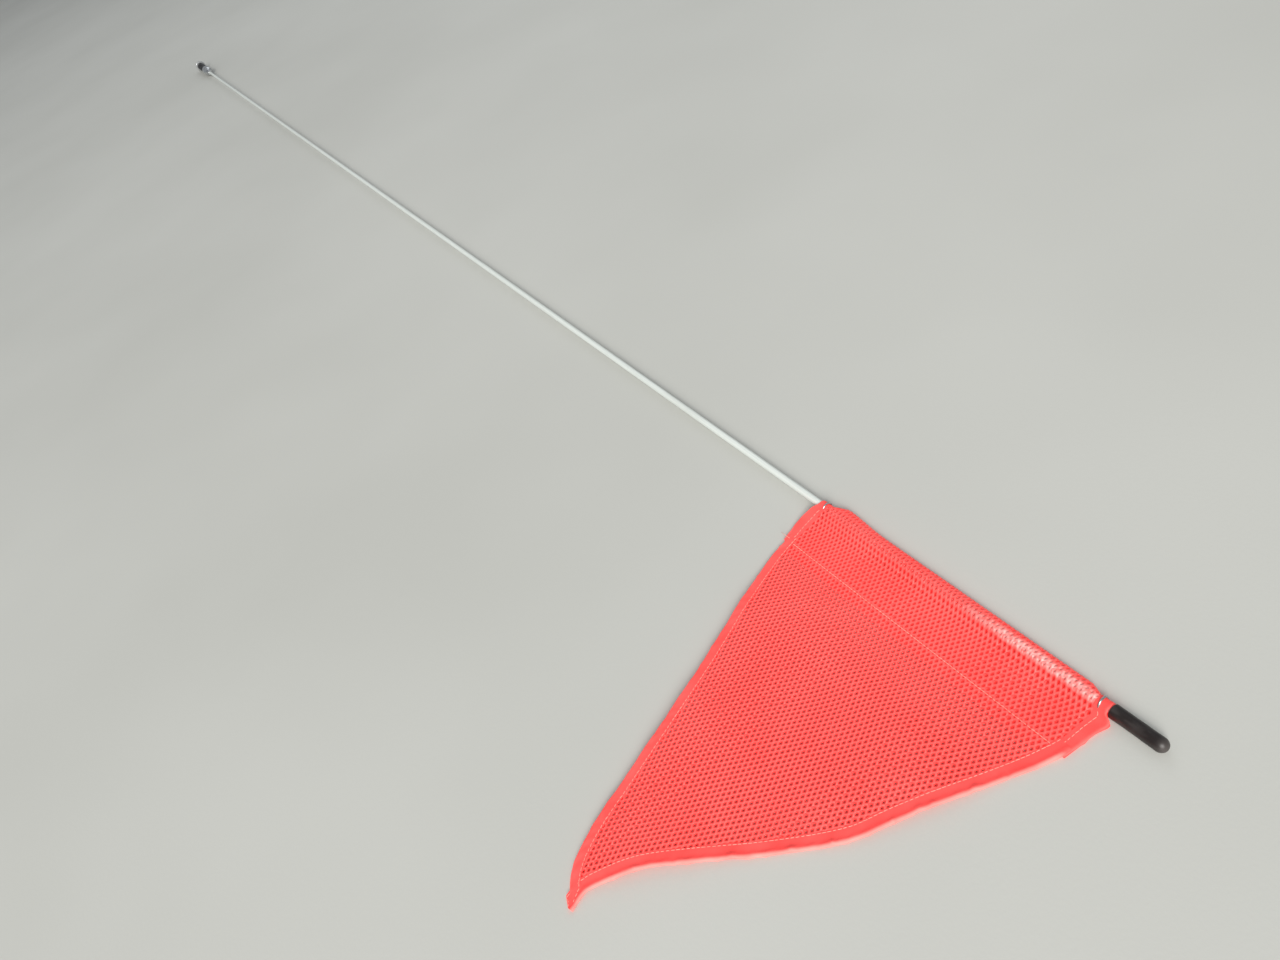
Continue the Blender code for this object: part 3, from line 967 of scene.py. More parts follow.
@dataclass
class TipCap:
    """The dipped vinyl cap that is pushed on the rod's end."""

    line: RodLine
    radius: float = 0.0053
    bore_radius: float = 0.0033
    waist: float = 0.00012
    end_wall: float = 0.003
    lip: float = 0.004
    drip: float = 0.00007
    dome_highlight_start: float = 0.003
    end_hole: float = 0.00015

    def build(self) -> None:
        """Shape the cap: a rolled lip, a faint waist and a rounded end."""
        start, end = node_span("tip_cap", self.line)
        dome = end - self.radius
        body = start + self.lip
        bottom = end - self.end_wall
        profile = [(bottom, PINHOLE)]
        profile += rounded([(bottom, self.bore_radius, 0.0), (start, self.bore_radius, 0.0005),
                            (start, self.radius, 0.0011), (body, self.radius, 0.001)])[:-1]
        for share in np.linspace(0.0, 1.0, 26):
            sag = self.waist * math.sin(math.pi * share)
            profile.append((body + (dome - body) * share, self.radius - sag))
        for angle in np.linspace(math.pi / 2, 0.0, 15)[1:]:
            reach = self.radius * math.cos(angle)
            profile.append((dome + reach, max(self.radius * math.sin(angle), self.end_hole)))

        def drips(along: Array, radius: Array, angle: Array) -> Array:
            """Thin the skin unevenly, as a dipped part's."""
            wave = np.sin(along * 420.0 + np.cos(angle) * 1.4) * np.cos(angle * 2 + along * 160.0)
            outside = radius > self.bore_radius + 0.0004
            return np.where(outside, radius - self.drip * (1 + wave), radius)

        made = self.line.turn("vinyl_cap", profile, Finish.VINYL, 72, drips)
        # painted highlight: this mark rises from 0 to 1 over the rounded end, where the vinyl is
        # painted lighter
        along = self.line.along(np.array([v.co.x for v in made.data.vertices]))
        layer = made.data.attributes.new("scuff", "FLOAT", "POINT")
        layer.data.foreach_set("value", ease(dome - self.dome_highlight_start, end, along)
                               .astype(np.float32))
        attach(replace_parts(made, "tip_cap"), "tip_cap")


# ------------------------------------------------------------------- the cloth


@dataclass(frozen=True)
class Outline:
    """A smooth edge through (out from the rod, along the sleeve) points."""

    points: tuple[Pair, ...]

    def at(self, out: Array) -> Array:
        """Read the edge's place along the sleeve.

        Args:
            out: distances from the rod.

        Returns:
            Places along the sleeve.
        """
        x, y = np.array(self.points).T
        i = np.clip(np.searchsorted(x, out) - 1, 0, len(x) - 2)
        before = np.maximum(i - 1, 0)
        after = np.minimum(i + 2, len(x) - 1)
        slope0 = (y[i + 1] - y[before]) / (x[i + 1] - x[before])
        slope1 = (y[after] - y[i]) / (x[after] - x[i])
        span = x[i + 1] - x[i]
        u = (np.asarray(out) - x[i]) / span
        start = (1 + 2 * u) * (1 - u) ** 2 * y[i] + u * (1 - u) ** 2 * slope0 * span
        end = u * u * (3 - 2 * u) * y[i + 1] + u * u * (u - 1) * slope1 * span
        return start + end


@dataclass(frozen=True)
class Wave:
    """A plane wave over the cloth, by its turns along and across it."""

    along: float
    across: float
    phase: float = 0.0

    def at(self, s: Array, t: Array) -> Array:
        """Read the wave, from -1 to 1."""
        return np.sin(self.along * s + self.across * t + self.phase)


LOWER_EDGE = Outline(((0.036, 0.0012), (0.044, 0.0026), (0.060, 0.0064), (0.090, 0.0182),
                      (0.150, 0.0445), (0.210, 0.0693), (0.270, 0.0900), (0.315, 0.1070),
                      (0.337, 0.1208), (0.351, 0.1400)))
UPPER_EDGE = Outline(((0.036, 0.2884), (0.044, 0.2866), (0.052, 0.2842), (0.090, 0.2705),
                      (0.150, 0.2480), (0.180, 0.2370), (0.225, 0.2073), (0.270, 0.1744),
                      (0.300, 0.1546), (0.325, 0.1436), (0.337, 0.1408), (0.351, 0.1444)))
LOWER_END = Outline(((0.0, 0.0), (0.004, -0.0004), (0.0085, -0.0034), (0.015, -0.0056),
                     (0.020, -0.0060), (0.028, -0.0042), (0.036, -0.0014), (0.044, 0.0004)))
UPPER_END = Outline(((0.0, 0.2875), (0.0054, 0.2880), (0.0074, 0.2918), (0.010, 0.2924),
                     (0.014, 0.2910), (0.020, 0.2898), (0.030, 0.2890), (0.044, 0.2874)))


@dataclass
class Drape:
    """How the cloth lies: round the rod, down to the floor and out to the apex."""

    line: RodLine
    length: float = SLEEVE
    fold_ends: float = 0.0040
    fold_middle: float = 0.0087
    fold_flare: float = 0.0030
    flare_reach: float = 0.070
    fold_start: float = 0.0088
    fold_ease: float = 0.015
    fold_sag: float = 0.0026
    wrap_radius: float = 0.0037
    loose_radius: float = 0.0039
    ridge: float = 0.0066
    tent: float = 0.0058
    tent_reach: float = 0.110
    pocket_edge: float = 0.044
    pocket_top: float = 0.0020
    flap_height: float = 0.0008
    field_height: float = 0.00125
    edge_lift: float = 0.0055
    lift_reach: float = 0.060
    settle: Pair = (0.003, 0.017)
    waves: tuple[Wave, Wave] = (Wave(38.0, -17.0, 0.6), Wave(26.0, 47.0, 2.2))
    wave_height: float = 0.0008
    crest_height: float = 0.0016
    crest_out: float = 0.098
    crest_lean: float = 0.10
    crest_middle: float = 0.14
    crest_spread: float = 0.016
    apex: float = 0.351

    def __post_init__(self) -> None:
        """Find where the sleeve starts on the rod."""
        swivel = next(j for j in frame["joints"] if j["name"] == "flag_swivel")
        self.pivot = np.array(swivel["pos_m"])
        self.slope = -self.line.ahead.z / self.line.ahead.x

    def axis_height(self, s: Array) -> Array:
        """Height of the rod's axis."""
        return self.pivot[2] - s * self.slope

    def looseness(self, s: Array) -> Array:
        """How far the sleeve stands off the rod, from 0 at its ends to 1."""
        inside = np.minimum(s, self.length - s)
        return ease(self.fold_start, self.fold_start + self.fold_ease, inside)

    def fold_radius(self, loose: Array) -> Array:
        """How far the sleeve's top stands off the rod's axis."""
        return self.wrap_radius + (self.loose_radius - self.wrap_radius) * loose

    def ripple(self, s: Array, t: Array) -> Array:
        """Soft waves that the open cloth keeps from being rolled up."""
        rolling = 2 + self.waves[0].at(s, t) + self.waves[1].at(s, t)
        far = ease(0.060, 0.130, t) * (1 - ease(0.29, 0.34, t))
        off = t - self.crest_out - self.crest_lean * (s - self.crest_middle)
        crest = np.exp(-(off / self.crest_spread) ** 2)
        inside = ease(0.05, 0.10, s) * (1 - ease(0.20, 0.25, s))
        return self.wave_height * rolling * far + self.crest_height * crest * inside

    def field(self, s: Array, t: Array) -> Array:
        """Height of the open flag, with its lower edge standing off the floor."""
        inward = s - LOWER_EDGE.at(np.clip(t, EDGE_START, self.apex))
        share = np.clip((t - self.pocket_edge) / (self.apex - self.pocket_edge), 0.0, 1.0)
        rise = np.exp(-(inward / self.lift_reach) ** 2) * np.sin(math.pi * share) ** 0.8
        return self.field_height + self.edge_lift * rise + self.ripple(s, t)

    def upper_layer(self, s: Array, t: Array) -> Array:
        """Height of the upper layer out from the rod."""
        settle = ease(self.pocket_edge + self.settle[0], self.pocket_edge + self.settle[1], t)
        flat = self.pocket_top * (1 - settle) + self.field(s, t) * settle
        radius = self.fold_radius(self.looseness(s))
        ridge = self.ridge + self.tent * (1 - ease(0.0, self.tent_reach, s))
        fall = 1 / (1 + (np.maximum(t, 0.0) / ridge) ** 3)
        return flat + (self.axis_height(s) + radius - flat) * fall

    def under_layer(self, s: Array, t: Array) -> Array:
        """Height of the folded-under layer out from the rod."""
        u = np.clip(t / self.pocket_edge, 0.0, 1.0)
        top = self.axis_height(s) - self.wrap_radius
        return self.flap_height + (top - self.flap_height) * (1 - u) ** 2

    def surface(self, s: Array, w: Array) -> Array:
        """Give the middle of the cloth.

        Args:
            s: places along the sleeve.
            w: places across the cloth.

        Returns:
            Points, with a last axis of 3.
        """
        upper = w >= 0
        reach = np.abs(w)
        wrap = np.clip(reach / FOLD_CLOTH, 0.0, 1.0) * math.pi / 2
        loose = self.looseness(s)
        flare = self.fold_flare * (1 - ease(0.018, self.flare_reach, s))
        fold = self.fold_ends + (self.fold_middle + flare - self.fold_ends) * loose
        radius = np.where(upper, self.fold_radius(loose), self.wrap_radius)
        u = np.cos(wrap)
        bulge = (1 - u ** (2 - 0.4 * loose)) ** (0.5 + 0.15 * loose)
        around = (self.axis_height(s) - self.fold_sag * loose * u ** 2
                  + np.where(upper, 1.0, -1.0) * radius * bulge)
        beyond = reach - FOLD_CLOTH
        level = np.where(upper, self.upper_layer(s, beyond), self.under_layer(s, beyond))
        out = np.where(beyond > 0, beyond, -fold * u)
        height = np.where(beyond > 0, level, around)
        return np.stack([self.pivot[0] + s, self.pivot[1] - out, height], axis=-1)

    def raised(self, s: Array, w: Array, off: Array) -> Array:
        """Give points a distance off the cloth's outer side.

        Args:
            s: places along the sleeve.
            w: places across the cloth.
            off: distances from the middle of the cloth.

        Returns:
            Points, with a last axis of 3.
        """
        step = 0.0002
        along = self.surface(s + step, w) - self.surface(s - step, w)
        across = self.surface(s, w + step) - self.surface(s, w - step)
        normal = np.cross(across, along)
        normal /= np.maximum(np.linalg.norm(normal, axis=-1, keepdims=True), 1e-12)
        return self.surface(s, w) + normal * np.asarray(off)[..., None]


@dataclass
class MeshCloth:
    """The knitted mesh: a honeycomb of raised ribs round open holes."""

    drape: Drape
    pitch: float = 0.00415
    hole: float = 0.00056
    hole_stretch: float = 1.45
    hole_closed: float = 0.36
    half_join: float = 0.00070
    half_rib: float = 0.00037
    pressed_rib: float = 0.00021
    margin: float = 0.0018
    flap_end: float = 0.051
    flap_start: float = 0.040
    flap_corners: Pair = (0.004, 0.003)
    wander: float = 0.00018
    drift: Wave = Wave(23.0, 61.0)
    sway: Wave = Wave(47.0, -90.0, 1.0)
    thin_place: float = 0.0012
    thin_spread: float = 0.0033
    thin_least: float = 0.25

    @property
    def row(self) -> float:
        """The distance between rows of holes."""
        return self.pitch * math.sqrt(3) / 2

    def edges(self, w: Array) -> tuple[Array, Array]:
        """Give the cloth's two cut edges at a place across it."""
        t = np.abs(w) - FOLD_CLOTH
        slanted = (w > 0) & (t > self.drape.pocket_edge)
        out = np.clip(t, EDGE_START, self.drape.apex)
        flap = t > self.flap_start
        low = np.where(slanted, LOWER_EDGE.at(out), self.flap_corners[0] * flap)
        high = np.where(slanted, UPPER_EDGE.at(out),
                        self.drape.length - self.flap_corners[1] * flap)
        return low + self.margin, high - self.margin

    def centres(self) -> Array:
        """Find the holes whose cells lie on the cloth."""
        found = []
        first = -(FOLD_CLOTH + self.flap_end - self.pitch / 2)
        last = FOLD_CLOTH + self.drape.apex - self.margin
        for j in range(int((last - first) / self.row) + 1):
            w = first + j * self.row
            low, high = (float(edge) for edge in self.edges(np.array(w)))
            shift = 0.5 * (j % 2) * self.pitch
            for i in range(int(self.drape.length / self.pitch) + 2):
                s = shift + i * self.pitch
                if low <= s - self.pitch * 0.3 and s + self.pitch * 0.3 <= high:
                    found.append((s, w))
        return np.array(found)

    def build(self) -> Piece:
        """Knit the cloth.

        Returns:
            The piece.
        """
        centres = self.centres()
        half, tall = self.pitch / 2, self.row - self.half_join
        corners = np.array([(half, self.half_join), (0.0, tall), (-half, self.half_join),
                            (-half, -self.half_join), (0.0, -tall), (half, -self.half_join)])
        spokes = corners / np.linalg.norm(corners, axis=1)[:, None]
        joints = (centres[:, None] + corners).reshape(-1, 2)
        keys = np.round(joints / 1e-5).astype(np.int64)
        unique, first, back = np.unique(keys, axis=0, return_index=True, return_inverse=True)
        joints = joints[first]
        back = back.reshape(-1, 6)
        rim_spokes = spokes * np.array([self.hole, self.hole * self.hole_stretch])
        doubled = 1 - ease(0.0, 0.006, centres[:, 1] - FOLD_CLOTH - self.drape.pocket_edge)
        open_share = 1 - self.hole_closed * doubled
        rims = (centres[:, None] + rim_spokes * open_share[:, None, None]).reshape(-1, 2)
        count = len(joints)
        rim = 2 * count + np.arange(len(rims)).reshape(-1, 6)
        faces = []
        uses: dict[tuple[int, int], list[int]] = {}
        for cell, (ends, inner) in enumerate(zip(back, rim)):
            for i in range(6):
                j = (i + 1) % 6
                a, b = int(ends[i]), int(ends[j])
                c, d = int(inner[i]), int(inner[j])
                faces.append((a, b, d, c))
                faces.append((b + count, a + count, c, d))
                uses.setdefault((min(a, b), max(a, b)), []).append(a)
                uses[(min(a, b), max(a, b))].append(b)
        for ends in uses.values():
            if len(ends) == 2:
                a, b = ends
                faces.append((b, a, a + count, b + count))
        points = np.concatenate([self.laid(joints, 1.0), self.laid(joints, -1.0),
                                 self.laid(rims, 0.0)])
        # crown is 1 on the rib crests and 0 at the hole rims; the mesh material paints highlights
        # on the crests and shade at the rims from it
        crown = np.concatenate([np.ones(2 * count), np.zeros(len(rims))])
        marks = {"crown": crown, "thin": self.stretched(np.concatenate([joints, joints, rims]))}
        return solid("mesh_cloth", points, faces, Finish.MESH, marks, sharp=180.0)

    def stretched(self, flat: Array) -> Array:
        """Give how thin the knit is pulled over the rod, towards the tip.

        Args:
            flat: (s, w) of each point.

        Returns:
            A share of the paler colour for each point.
        """
        s, w = flat.T
        over_rod = np.exp(-((w - FOLD_CLOTH - self.thin_place) / self.thin_spread) ** 2)
        towards_tip = self.thin_least + (1 - self.thin_least) * ease(0.150, 0.215, s)
        return over_rod * towards_tip * (w > 0)

    def laid(self, flat: Array, side: float) -> Array:
        """Lay points of the flat knit on the drape.

        Args:
            flat: (s, w) of each point.
            side: 1 for the outer face, -1 for the inner, 0 for the middle.

        Returns:
            The points.
        """
        s, w = flat.T
        low, high = self.edges(w)
        inside = np.minimum(s - low, high - s)
        press = ease(0.008, 0.013, inside)
        rib = self.pressed_rib + (self.half_rib - self.pressed_rib) * press
        drift = self.wander * self.drift.at(s, w) * press
        sway = self.wander * self.sway.at(s, w) * press
        return self.drape.raised(s + drift, w + sway, side * rib)


# ------------------------------------------------------- tapes, stitches, rings


def distances(s: Array, w: Array) -> Array:
    """Give how far along a route over the cloth each of its places lies."""
    return np.concatenate([[0.0], np.cumsum(np.hypot(np.diff(s), np.diff(w)))])


@dataclass
class TapeRun:
    """A binding tape folded over an edge of the cloth.

    The run is a row of stations.  Each has a place (s, w) on the edge, a unit
    direction into the cloth, and how far the tape stands off the cloth's middle
    on its outer and inner sides.
    """

    name: str
    node: str
    drape: Drape
    s: Array
    w: Array
    inward_s: Array
    inward_w: Array
    width: Array
    outer_lift: Array
    inner_lift: Array
    outer_bead: float = 0.00034
    inner_bead: float = 0.00034
    bead_spread: float = 0.0018
    thickness: float = 0.00024
    floor_gap: float = 0.00004
    nose_slack: float = 0.0002
    nose: float = 0.0012
    first_tuck: float = 0.0
    crease: float = 0.00010
    crease_growth: float = 1.5
    # strength and reach of the painted highlight on the folded rim
    rubbed_and_highlit: float = 0.35
    rim_highlight_depth: Pair = (0.0004, 0.0034)
    rim_highlight_start: float = 0.012
    first_place: float = 0.006
    tuck_step: Pair = (0.008, 0.021)
    tuck_reach: Pair = (0.0014, 0.0032)
    tuck_shift: Pair = (-0.0007, 0.0006)
    tuck_lift: Pair = (-0.6, 1.1)
    wobble: float = 0.00022
    wobble_rate: float = 130.0
    seed: int = 0

    def creases(self, along: Array, depth: Array) -> Array:
        """Give the height of the slanted creases that run across the tape.

        Args:
            along: distances along the run.
            depth: distances from the edge.

        Returns:
            Heights, which fade out at the edge.
        """
        slow = np.sin(along * 61.0 + self.seed * 1.7)
        wave = np.sin(along * 560.0 + depth * 420.0 + 3.0 * slow)
        return self.crease * (0.6 + 0.4 * slow) * wave * ease(0.0, 0.003, depth)

    def puckers(self) -> tuple[Array, Array]:
        """Work out the small tucks that the seam pulls into the tape.

        Returns:
            A sideways shift and a share of extra lift for each station.
        """
        random = np.random.RandomState(SEED + self.seed)
        along = distances(self.s, self.w)
        shift = np.zeros(len(along))
        lift = np.zeros(len(along))
        place = self.first_place
        while place < along[-1]:
            reach = random.uniform(*self.tuck_reach)
            bump = np.exp(-((along - place) / reach) ** 2)
            shift += bump * random.uniform(*self.tuck_shift)
            lift += bump * random.uniform(*self.tuck_lift)
            place += random.uniform(*self.tuck_step)
        shift += np.sin(along * self.wobble_rate + self.seed) * self.wobble
        shift -= self.first_tuck * np.exp(-((along - 0.002) / 0.003) ** 2)
        return shift, lift

    def section(self) -> list[tuple[float, float, Optional[float], float]]:
        """Draw the folded tape's section.

        Returns:
            For each point: its depth as a share of the width behind the nose; 1, -1
            or 0 for its side; its angle round the nose, or None; and 1 inside the skin.
        """
        flats = np.linspace(1.0, 0.0, 9)[:-1]
        turns = np.linspace(math.pi / 2, -math.pi / 2, 9)
        skin = [(share, 1.0, None) for share in flats]
        skin += [(0.0, 0.0, turn) for turn in turns]
        skin += [(share, -1.0, None) for share in reversed(flats)]
        return [(*point, 0.0) for point in skin] + [(*point, 1.0) for point in reversed(skin)]

    def build(self) -> Piece:
        """Fold the tape along its run.

        Returns:
            The piece.
        """
        shift, tuck = self.puckers()
        travelled = distances(self.s, self.w)
        columns, across, rim, lowest = [], [], [], []
        for share, side, turn, within in self.section():
            skin = within * self.thickness
            lowest.append(self.floor_gap + skin)
            if turn is None:
                depth = self.nose + (self.width - self.nose) * share
                bead = np.exp(-((depth - self.nose) / self.bead_spread) ** 2)
                outer = self.outer_lift + self.outer_bead * bead * (1 + tuck)
                fading = (1 - share) * self.crease_growth
                outer = outer + self.creases(travelled, depth) * fading
                inner = self.inner_lift + self.inner_bead * bead * (1 + 0.5 * tuck)
                off = np.where(side > 0, outer - skin, skin - inner)
            else:
                depth = self.nose - (self.nose + self.nose_slack - skin) * math.cos(turn)
                outer = self.outer_lift + self.outer_bead * (1 + tuck) - skin
                inner = self.inner_lift + self.inner_bead * (1 + 0.5 * tuck) - skin
                off = np.where(math.sin(turn) > 0, outer, inner) * math.sin(turn)
                depth = np.full(len(self.s), depth)
            depth = depth + shift
            columns.append(self.drape.raised(self.s + self.inward_s * depth,
                                             self.w + self.inward_w * depth, off))
            across.append(depth * (1.0 if side > 0 else -1.0))
            # painted highlight on the folded rim: strongest at the nose, fading inwards and at the
            # run's start
            rim.append(self.rubbed_and_highlit * (1 - ease(*self.rim_highlight_depth, depth))
                       * ease(0.0, self.rim_highlight_start, travelled))
        rows = np.stack(columns, axis=1)
        rows[..., 2] = np.maximum(rows[..., 2], lowest)
        along = np.repeat(travelled[:, None], rows.shape[1], axis=1)
        made = self.closed(rows, {"along": along, "across": np.stack(across, axis=1),
                                  "rim": np.stack(rim, axis=1)})
        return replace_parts(made, self.node)

    def closed(self, rows: Array, marks: Mapping[str, Array]) -> Piece:
        """Close the loft, with narrow faces across the tape's cut ends.

        Args:
            rows: the section's points at each station.
            marks: numbers for the material, one a point.

        Returns:
            The piece.
        """
        total, width = rows.shape[:2]
        faces = band_faces(total, width)
        last = (total - 1) * width
        for i in range(width // 2 - 1):
            j = width - 1 - i
            faces.append((j, j - 1, i + 1, i))
            faces.append((last + i, last + i + 1, last + j - 1, last + j))
        flat = {key: values.reshape(-1) for key, values in marks.items()}
        return solid(self.name, rows.reshape(-1, 3), faces, Finish.TAPE, flat, sharp=55.0)


@dataclass
class Stitching:
    """A row of lockstitches: short rounded lengths of thread that dip at their ends."""

    name: str
    node: str
    drape: Drape
    length: float = 0.0030
    gap: float = 0.0005
    radius: float = 0.00027
    lean: float = 0.00022
    dip: float = 0.00030
    taper: tuple[float, ...] = (0.45, 0.9, 1.0, 1.0, 1.0, 0.9, 0.45)
    first_place: float = 0.0006
    gap_error: Pair = (-0.0001, 0.0003)
    seed: int = 0

    def __post_init__(self) -> None:
        """Start with no stitches."""
        self.drawn = Drawn()
        self.random = np.random.RandomState(SEED * 3 + self.seed)

    def along(self, s: Array, w: Array, off: Array) -> None:
        """Sew along a route.

        Args:
            s: places along the sleeve.
            w: places across the cloth.
            off: how far the thread lies off the cloth's middle.
        """
        places = distances(s, w)
        dip = np.sign(off[0]) * self.dip
        radii = np.array(self.taper) * self.radius
        span = np.linspace(-1, 1, len(radii))
        at = self.first_place
        while at + self.length < places[-1]:
            sewn = np.linspace(at, at + self.length, len(radii))
            lean = self.random.uniform(-self.lean, self.lean)
            path = self.drape.raised(np.interp(sewn, places, s) + lean * span,
                                     np.interp(sewn, places, w) - lean * span,
                                     np.interp(sewn, places, off) - dip * span ** 4)
            self.drawn.loft(sweep(path, radii, 6))
            at += self.length + self.gap + self.random.uniform(*self.gap_error)

    def build(self) -> Piece:
        """Make the sewn rows one piece."""
        made = solid(self.name, self.drawn.all_points(), self.drawn.faces, Finish.THREAD,
                     sharp=75.0)
        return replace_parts(made, self.node)


@dataclass(frozen=True)
class FlagSide:
    """One side of the flag: its outlines, its tapes and the seeds of its details.

    inward is the direction along the sleeve into the cloth, start the place where
    the sleeve's end crosses the rod, room_share the most of the cloth's breadth that
    the slanted tape takes up, and laps 1 where that tape laps over the other one.
    """

    word: str
    inward: float
    start: float
    end: Outline
    edge: Outline
    tape: float
    room_share: float
    laps: float
    bead: float
    bead_spread: float
    nose: float
    crease: float
    rubbed_and_highlit: float
    first_tuck: float
    seeds: Mapping[str, int]

    def sleeve_end(self, w: Array, pocket: float) -> tuple[Array, Array]:
        """Give where the sleeve's end is cut, which flares past its crossing with the rod.

        Args:
            w: places across the cloth.
            pocket: how far the pocket reaches out from the rod.

        Returns:
            Places along the sleeve, and how far each stands outside the crossing.
        """
        cut = self.end.at(np.clip(np.abs(w) - FOLD_CLOTH, 0.0, pocket))
        return cut, np.maximum(self.inward * (self.start - cut), 0.0)


# Each side's rim strength paints a highlight on its slanted tape's fold, much stronger on the
# upper edge, which faces the light.
SIDES = (
    FlagSide("lower", 1.0, 0.0, LOWER_END, LOWER_EDGE, tape=0.0082, room_share=0.72,
             laps=1.0, bead=0.00050, bead_spread=0.0018, nose=0.0013, crease=0.00024, rubbed_and_highlit=0.30,
             first_tuck=0.0012, seeds={"pocket": 4, "edge": 1, "sleeve": 2, "hem": 6}),
    FlagSide("upper", -1.0, SLEEVE, UPPER_END, UPPER_EDGE, tape=0.0110, room_share=0.95,
             laps=0.0, bead=0.00115, bead_spread=0.0022, nose=0.0019, crease=0.00014, rubbed_and_highlit=0.95,
             first_tuck=0.0, seeds={"pocket": 5, "edge": 2, "sleeve": 3, "hem": 7}))


@dataclass
class Flag:
    """The whole flag: cloth, binding tapes, stitches, rings and a loose thread end."""

    line: RodLine
    pocket_tape: float = 0.0098
    pocket_lift: Pair = (0.00042, 0.00045)
    pocket_bead: float = 0.00022
    flare_tape: float = 0.6
    flare_stitch: float = 0.45
    lift: float = 0.00047
    overlap: float = 0.00030
    run_start: float = 0.0375
    run_end: float = 0.0003
    corner: Pair = (0.047, 0.056)
    lap: Pair = (0.316, 0.326)
    stitch_edge: float = 0.0011
    pocket_stitch: float = 0.0068
    thread_lift: float = 0.00012
    seam: float = 0.0425
    seam_inset: float = 0.010
    seam_lift: Pair = (0.00056, 0.00030)
    seam_gap: float = 0.0002
    seam_thread: float = 0.00034
    sleeve_sewn: Pair = (0.006, 0.040)
    back_sewn: float = 0.062
    ring_radius: float = 0.005
    ring_wire: float = 0.0008
    ring_inset: float = 0.007
    ring_skew: float = math.radians(6)
    ring_gap: float = math.radians(12)
    ring_opening: float = -math.pi / 4
    ring_point: float = 0.035
    loose_start: Pair = (0.0040, 0.0405)
    loose_length: float = 0.0115
    loose_radius: float = 0.00022

    def __post_init__(self) -> None:
        """Lay the cloth."""
        self.drape = Drape(self.line)
        self.knit = MeshCloth(self.drape)

    def build(self) -> None:
        cloth = self.knit.build()
        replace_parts(cloth, "flag_cloth")
        pieces = self.pocket_tapes() + self.edge_tapes() + self.seams() + self.rings()
        pieces.append(self.loose_end())
        for piece in [cloth] + pieces:
            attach(piece, "flag")
        length = self.drape.apex + 2 * FOLD_CLOTH + self.knit.flap_end
        self.cut_area()

    def cut_area(self) -> float:
        """Work out the flat area of the cut cloth."""
        out = np.linspace(self.drape.pocket_edge, self.drape.apex, 400)
        spread = UPPER_EDGE.at(out) - LOWER_EDGE.at(out)
        field = float(((spread[1:] + spread[:-1]) / 2 * np.diff(out)).sum())
        sleeve = self.drape.pocket_edge + 2 * FOLD_CLOTH + self.knit.flap_end
        return field + sleeve * self.drape.length

    def pocket_tapes(self) -> list[Piece]:
        """Bind both ends of the sleeve, round the whole loop of cloth."""
        made = []
        reach = FOLD_CLOTH + self.drape.pocket_edge
        w = np.linspace(-reach, reach, 190)
        even = np.ones(len(w))
        outer = np.where(w < -FOLD_CLOTH, self.pocket_lift[0], self.lift)
        for side in SIDES:
            cut, flare = side.sleeve_end(w, self.drape.pocket_edge)
            made.append(TapeRun(
                side.word + "_pocket_tape", side.word + "_pocket_binding", self.drape,
                cut, w, side.inward * even, 0.0 * even, self.pocket_tape + flare * self.flare_tape,
                outer, self.pocket_lift[1] * even, outer_bead=self.pocket_bead,
                inner_bead=0.0, seed=side.seeds["pocket"]).build())
        return made

    def edge_run(self, side: FlagSide) -> dict[str, Array]:
        """Follow a slanted edge.

        Args:
            side: the side of the flag that it bounds.

        Returns:
            Places, inward directions, widths and lifts of the stations.
        """
        last = self.drape.apex - self.run_end
        out = self.run_start + (last - self.run_start) * np.linspace(0.0, 1.0, 330)
        s = side.edge.at(out)
        slope = np.gradient(s, out)
        span = np.hypot(1.0, slope)
        room = UPPER_EDGE.at(out) - LOWER_EDGE.at(out)
        corner = 1 - ease(*self.corner, out)
        lap = ease(*self.lap, out) * side.laps
        inner = self.lift + self.overlap * lap
        edge_off = self.drape.upper_layer(s, out) - self.pocket_lift[0]
        return {"s": s, "w": out + FOLD_CLOTH,
                "inward_s": side.inward / span, "inward_w": -side.inward * slope / span,
                "width": np.minimum(side.tape, room * side.room_share),
                "outer_lift": self.lift + self.overlap * np.maximum(corner, lap),
                "inner_lift": inner * (1 - corner) + np.maximum(edge_off, inner) * corner}

    def edge_tapes(self) -> list[Piece]:
        """Bind the two slanted edges; the lower tape laps over the other at the apex."""
        return [TapeRun(side.word + "_edge_tape", side.word + "_edge_binding", self.drape,
                        **self.edge_run(side), outer_bead=side.bead,
                        bead_spread=side.bead_spread, nose=side.nose, crease=side.crease,
                        rubbed_and_highlit=side.rubbed_and_highlit, first_tuck=side.first_tuck,
                        seed=side.seeds["edge"]).build() for side in SIDES]

    def seams(self) -> list[Piece]:
        """Sew the pocket's seam, the sleeve ends and the two slanted tapes."""
        seam = Stitching("pocket_seam_stitches", "pocket_seam_thread", self.drape,
                         gap=self.seam_gap, radius=self.seam_thread, seed=1)
        s = np.linspace(self.seam_inset, self.drape.length - self.seam_inset, 200)
        for face, lift in zip((1.0, -1.0), self.seam_lift):
            seam.along(s, np.full(len(s), face * (self.seam + FOLD_CLOTH)),
                       np.full(len(s), lift))
        made = [seam.build()]
        w = FOLD_CLOTH + np.linspace(*self.sleeve_sewn, 120)
        for side in SIDES:
            sewn = Stitching(side.word + "_pocket_stitches", side.word + "_pocket_thread",
                             self.drape, seed=side.seeds["sleeve"])
            cut, flare = side.sleeve_end(w, self.drape.pocket_edge)
            inset = self.pocket_stitch + flare * self.flare_stitch
            sewn.along(cut + side.inward * inset, w,
                       np.full(len(w), self.lift + self.thread_lift))
            made.append(sewn.build())
        for side in SIDES:
            sewn = Stitching(side.word + "_edge_stitches", side.word + "_edge_thread",
                             self.drape, seed=side.seeds["hem"])
            run = self.edge_run(side)
            inset = run["width"] - self.stitch_edge
            s = run["s"] + run["inward_s"] * inset
            w = run["w"] + run["inward_w"] * inset
            sewn.along(s, w, run["outer_lift"] + self.thread_lift)
            field = run["w"] > FOLD_CLOTH + self.back_sewn
            sewn.along(s[field], w[field], -run["inner_lift"][field] - self.thread_lift)
            made.append(sewn.build())
        return made

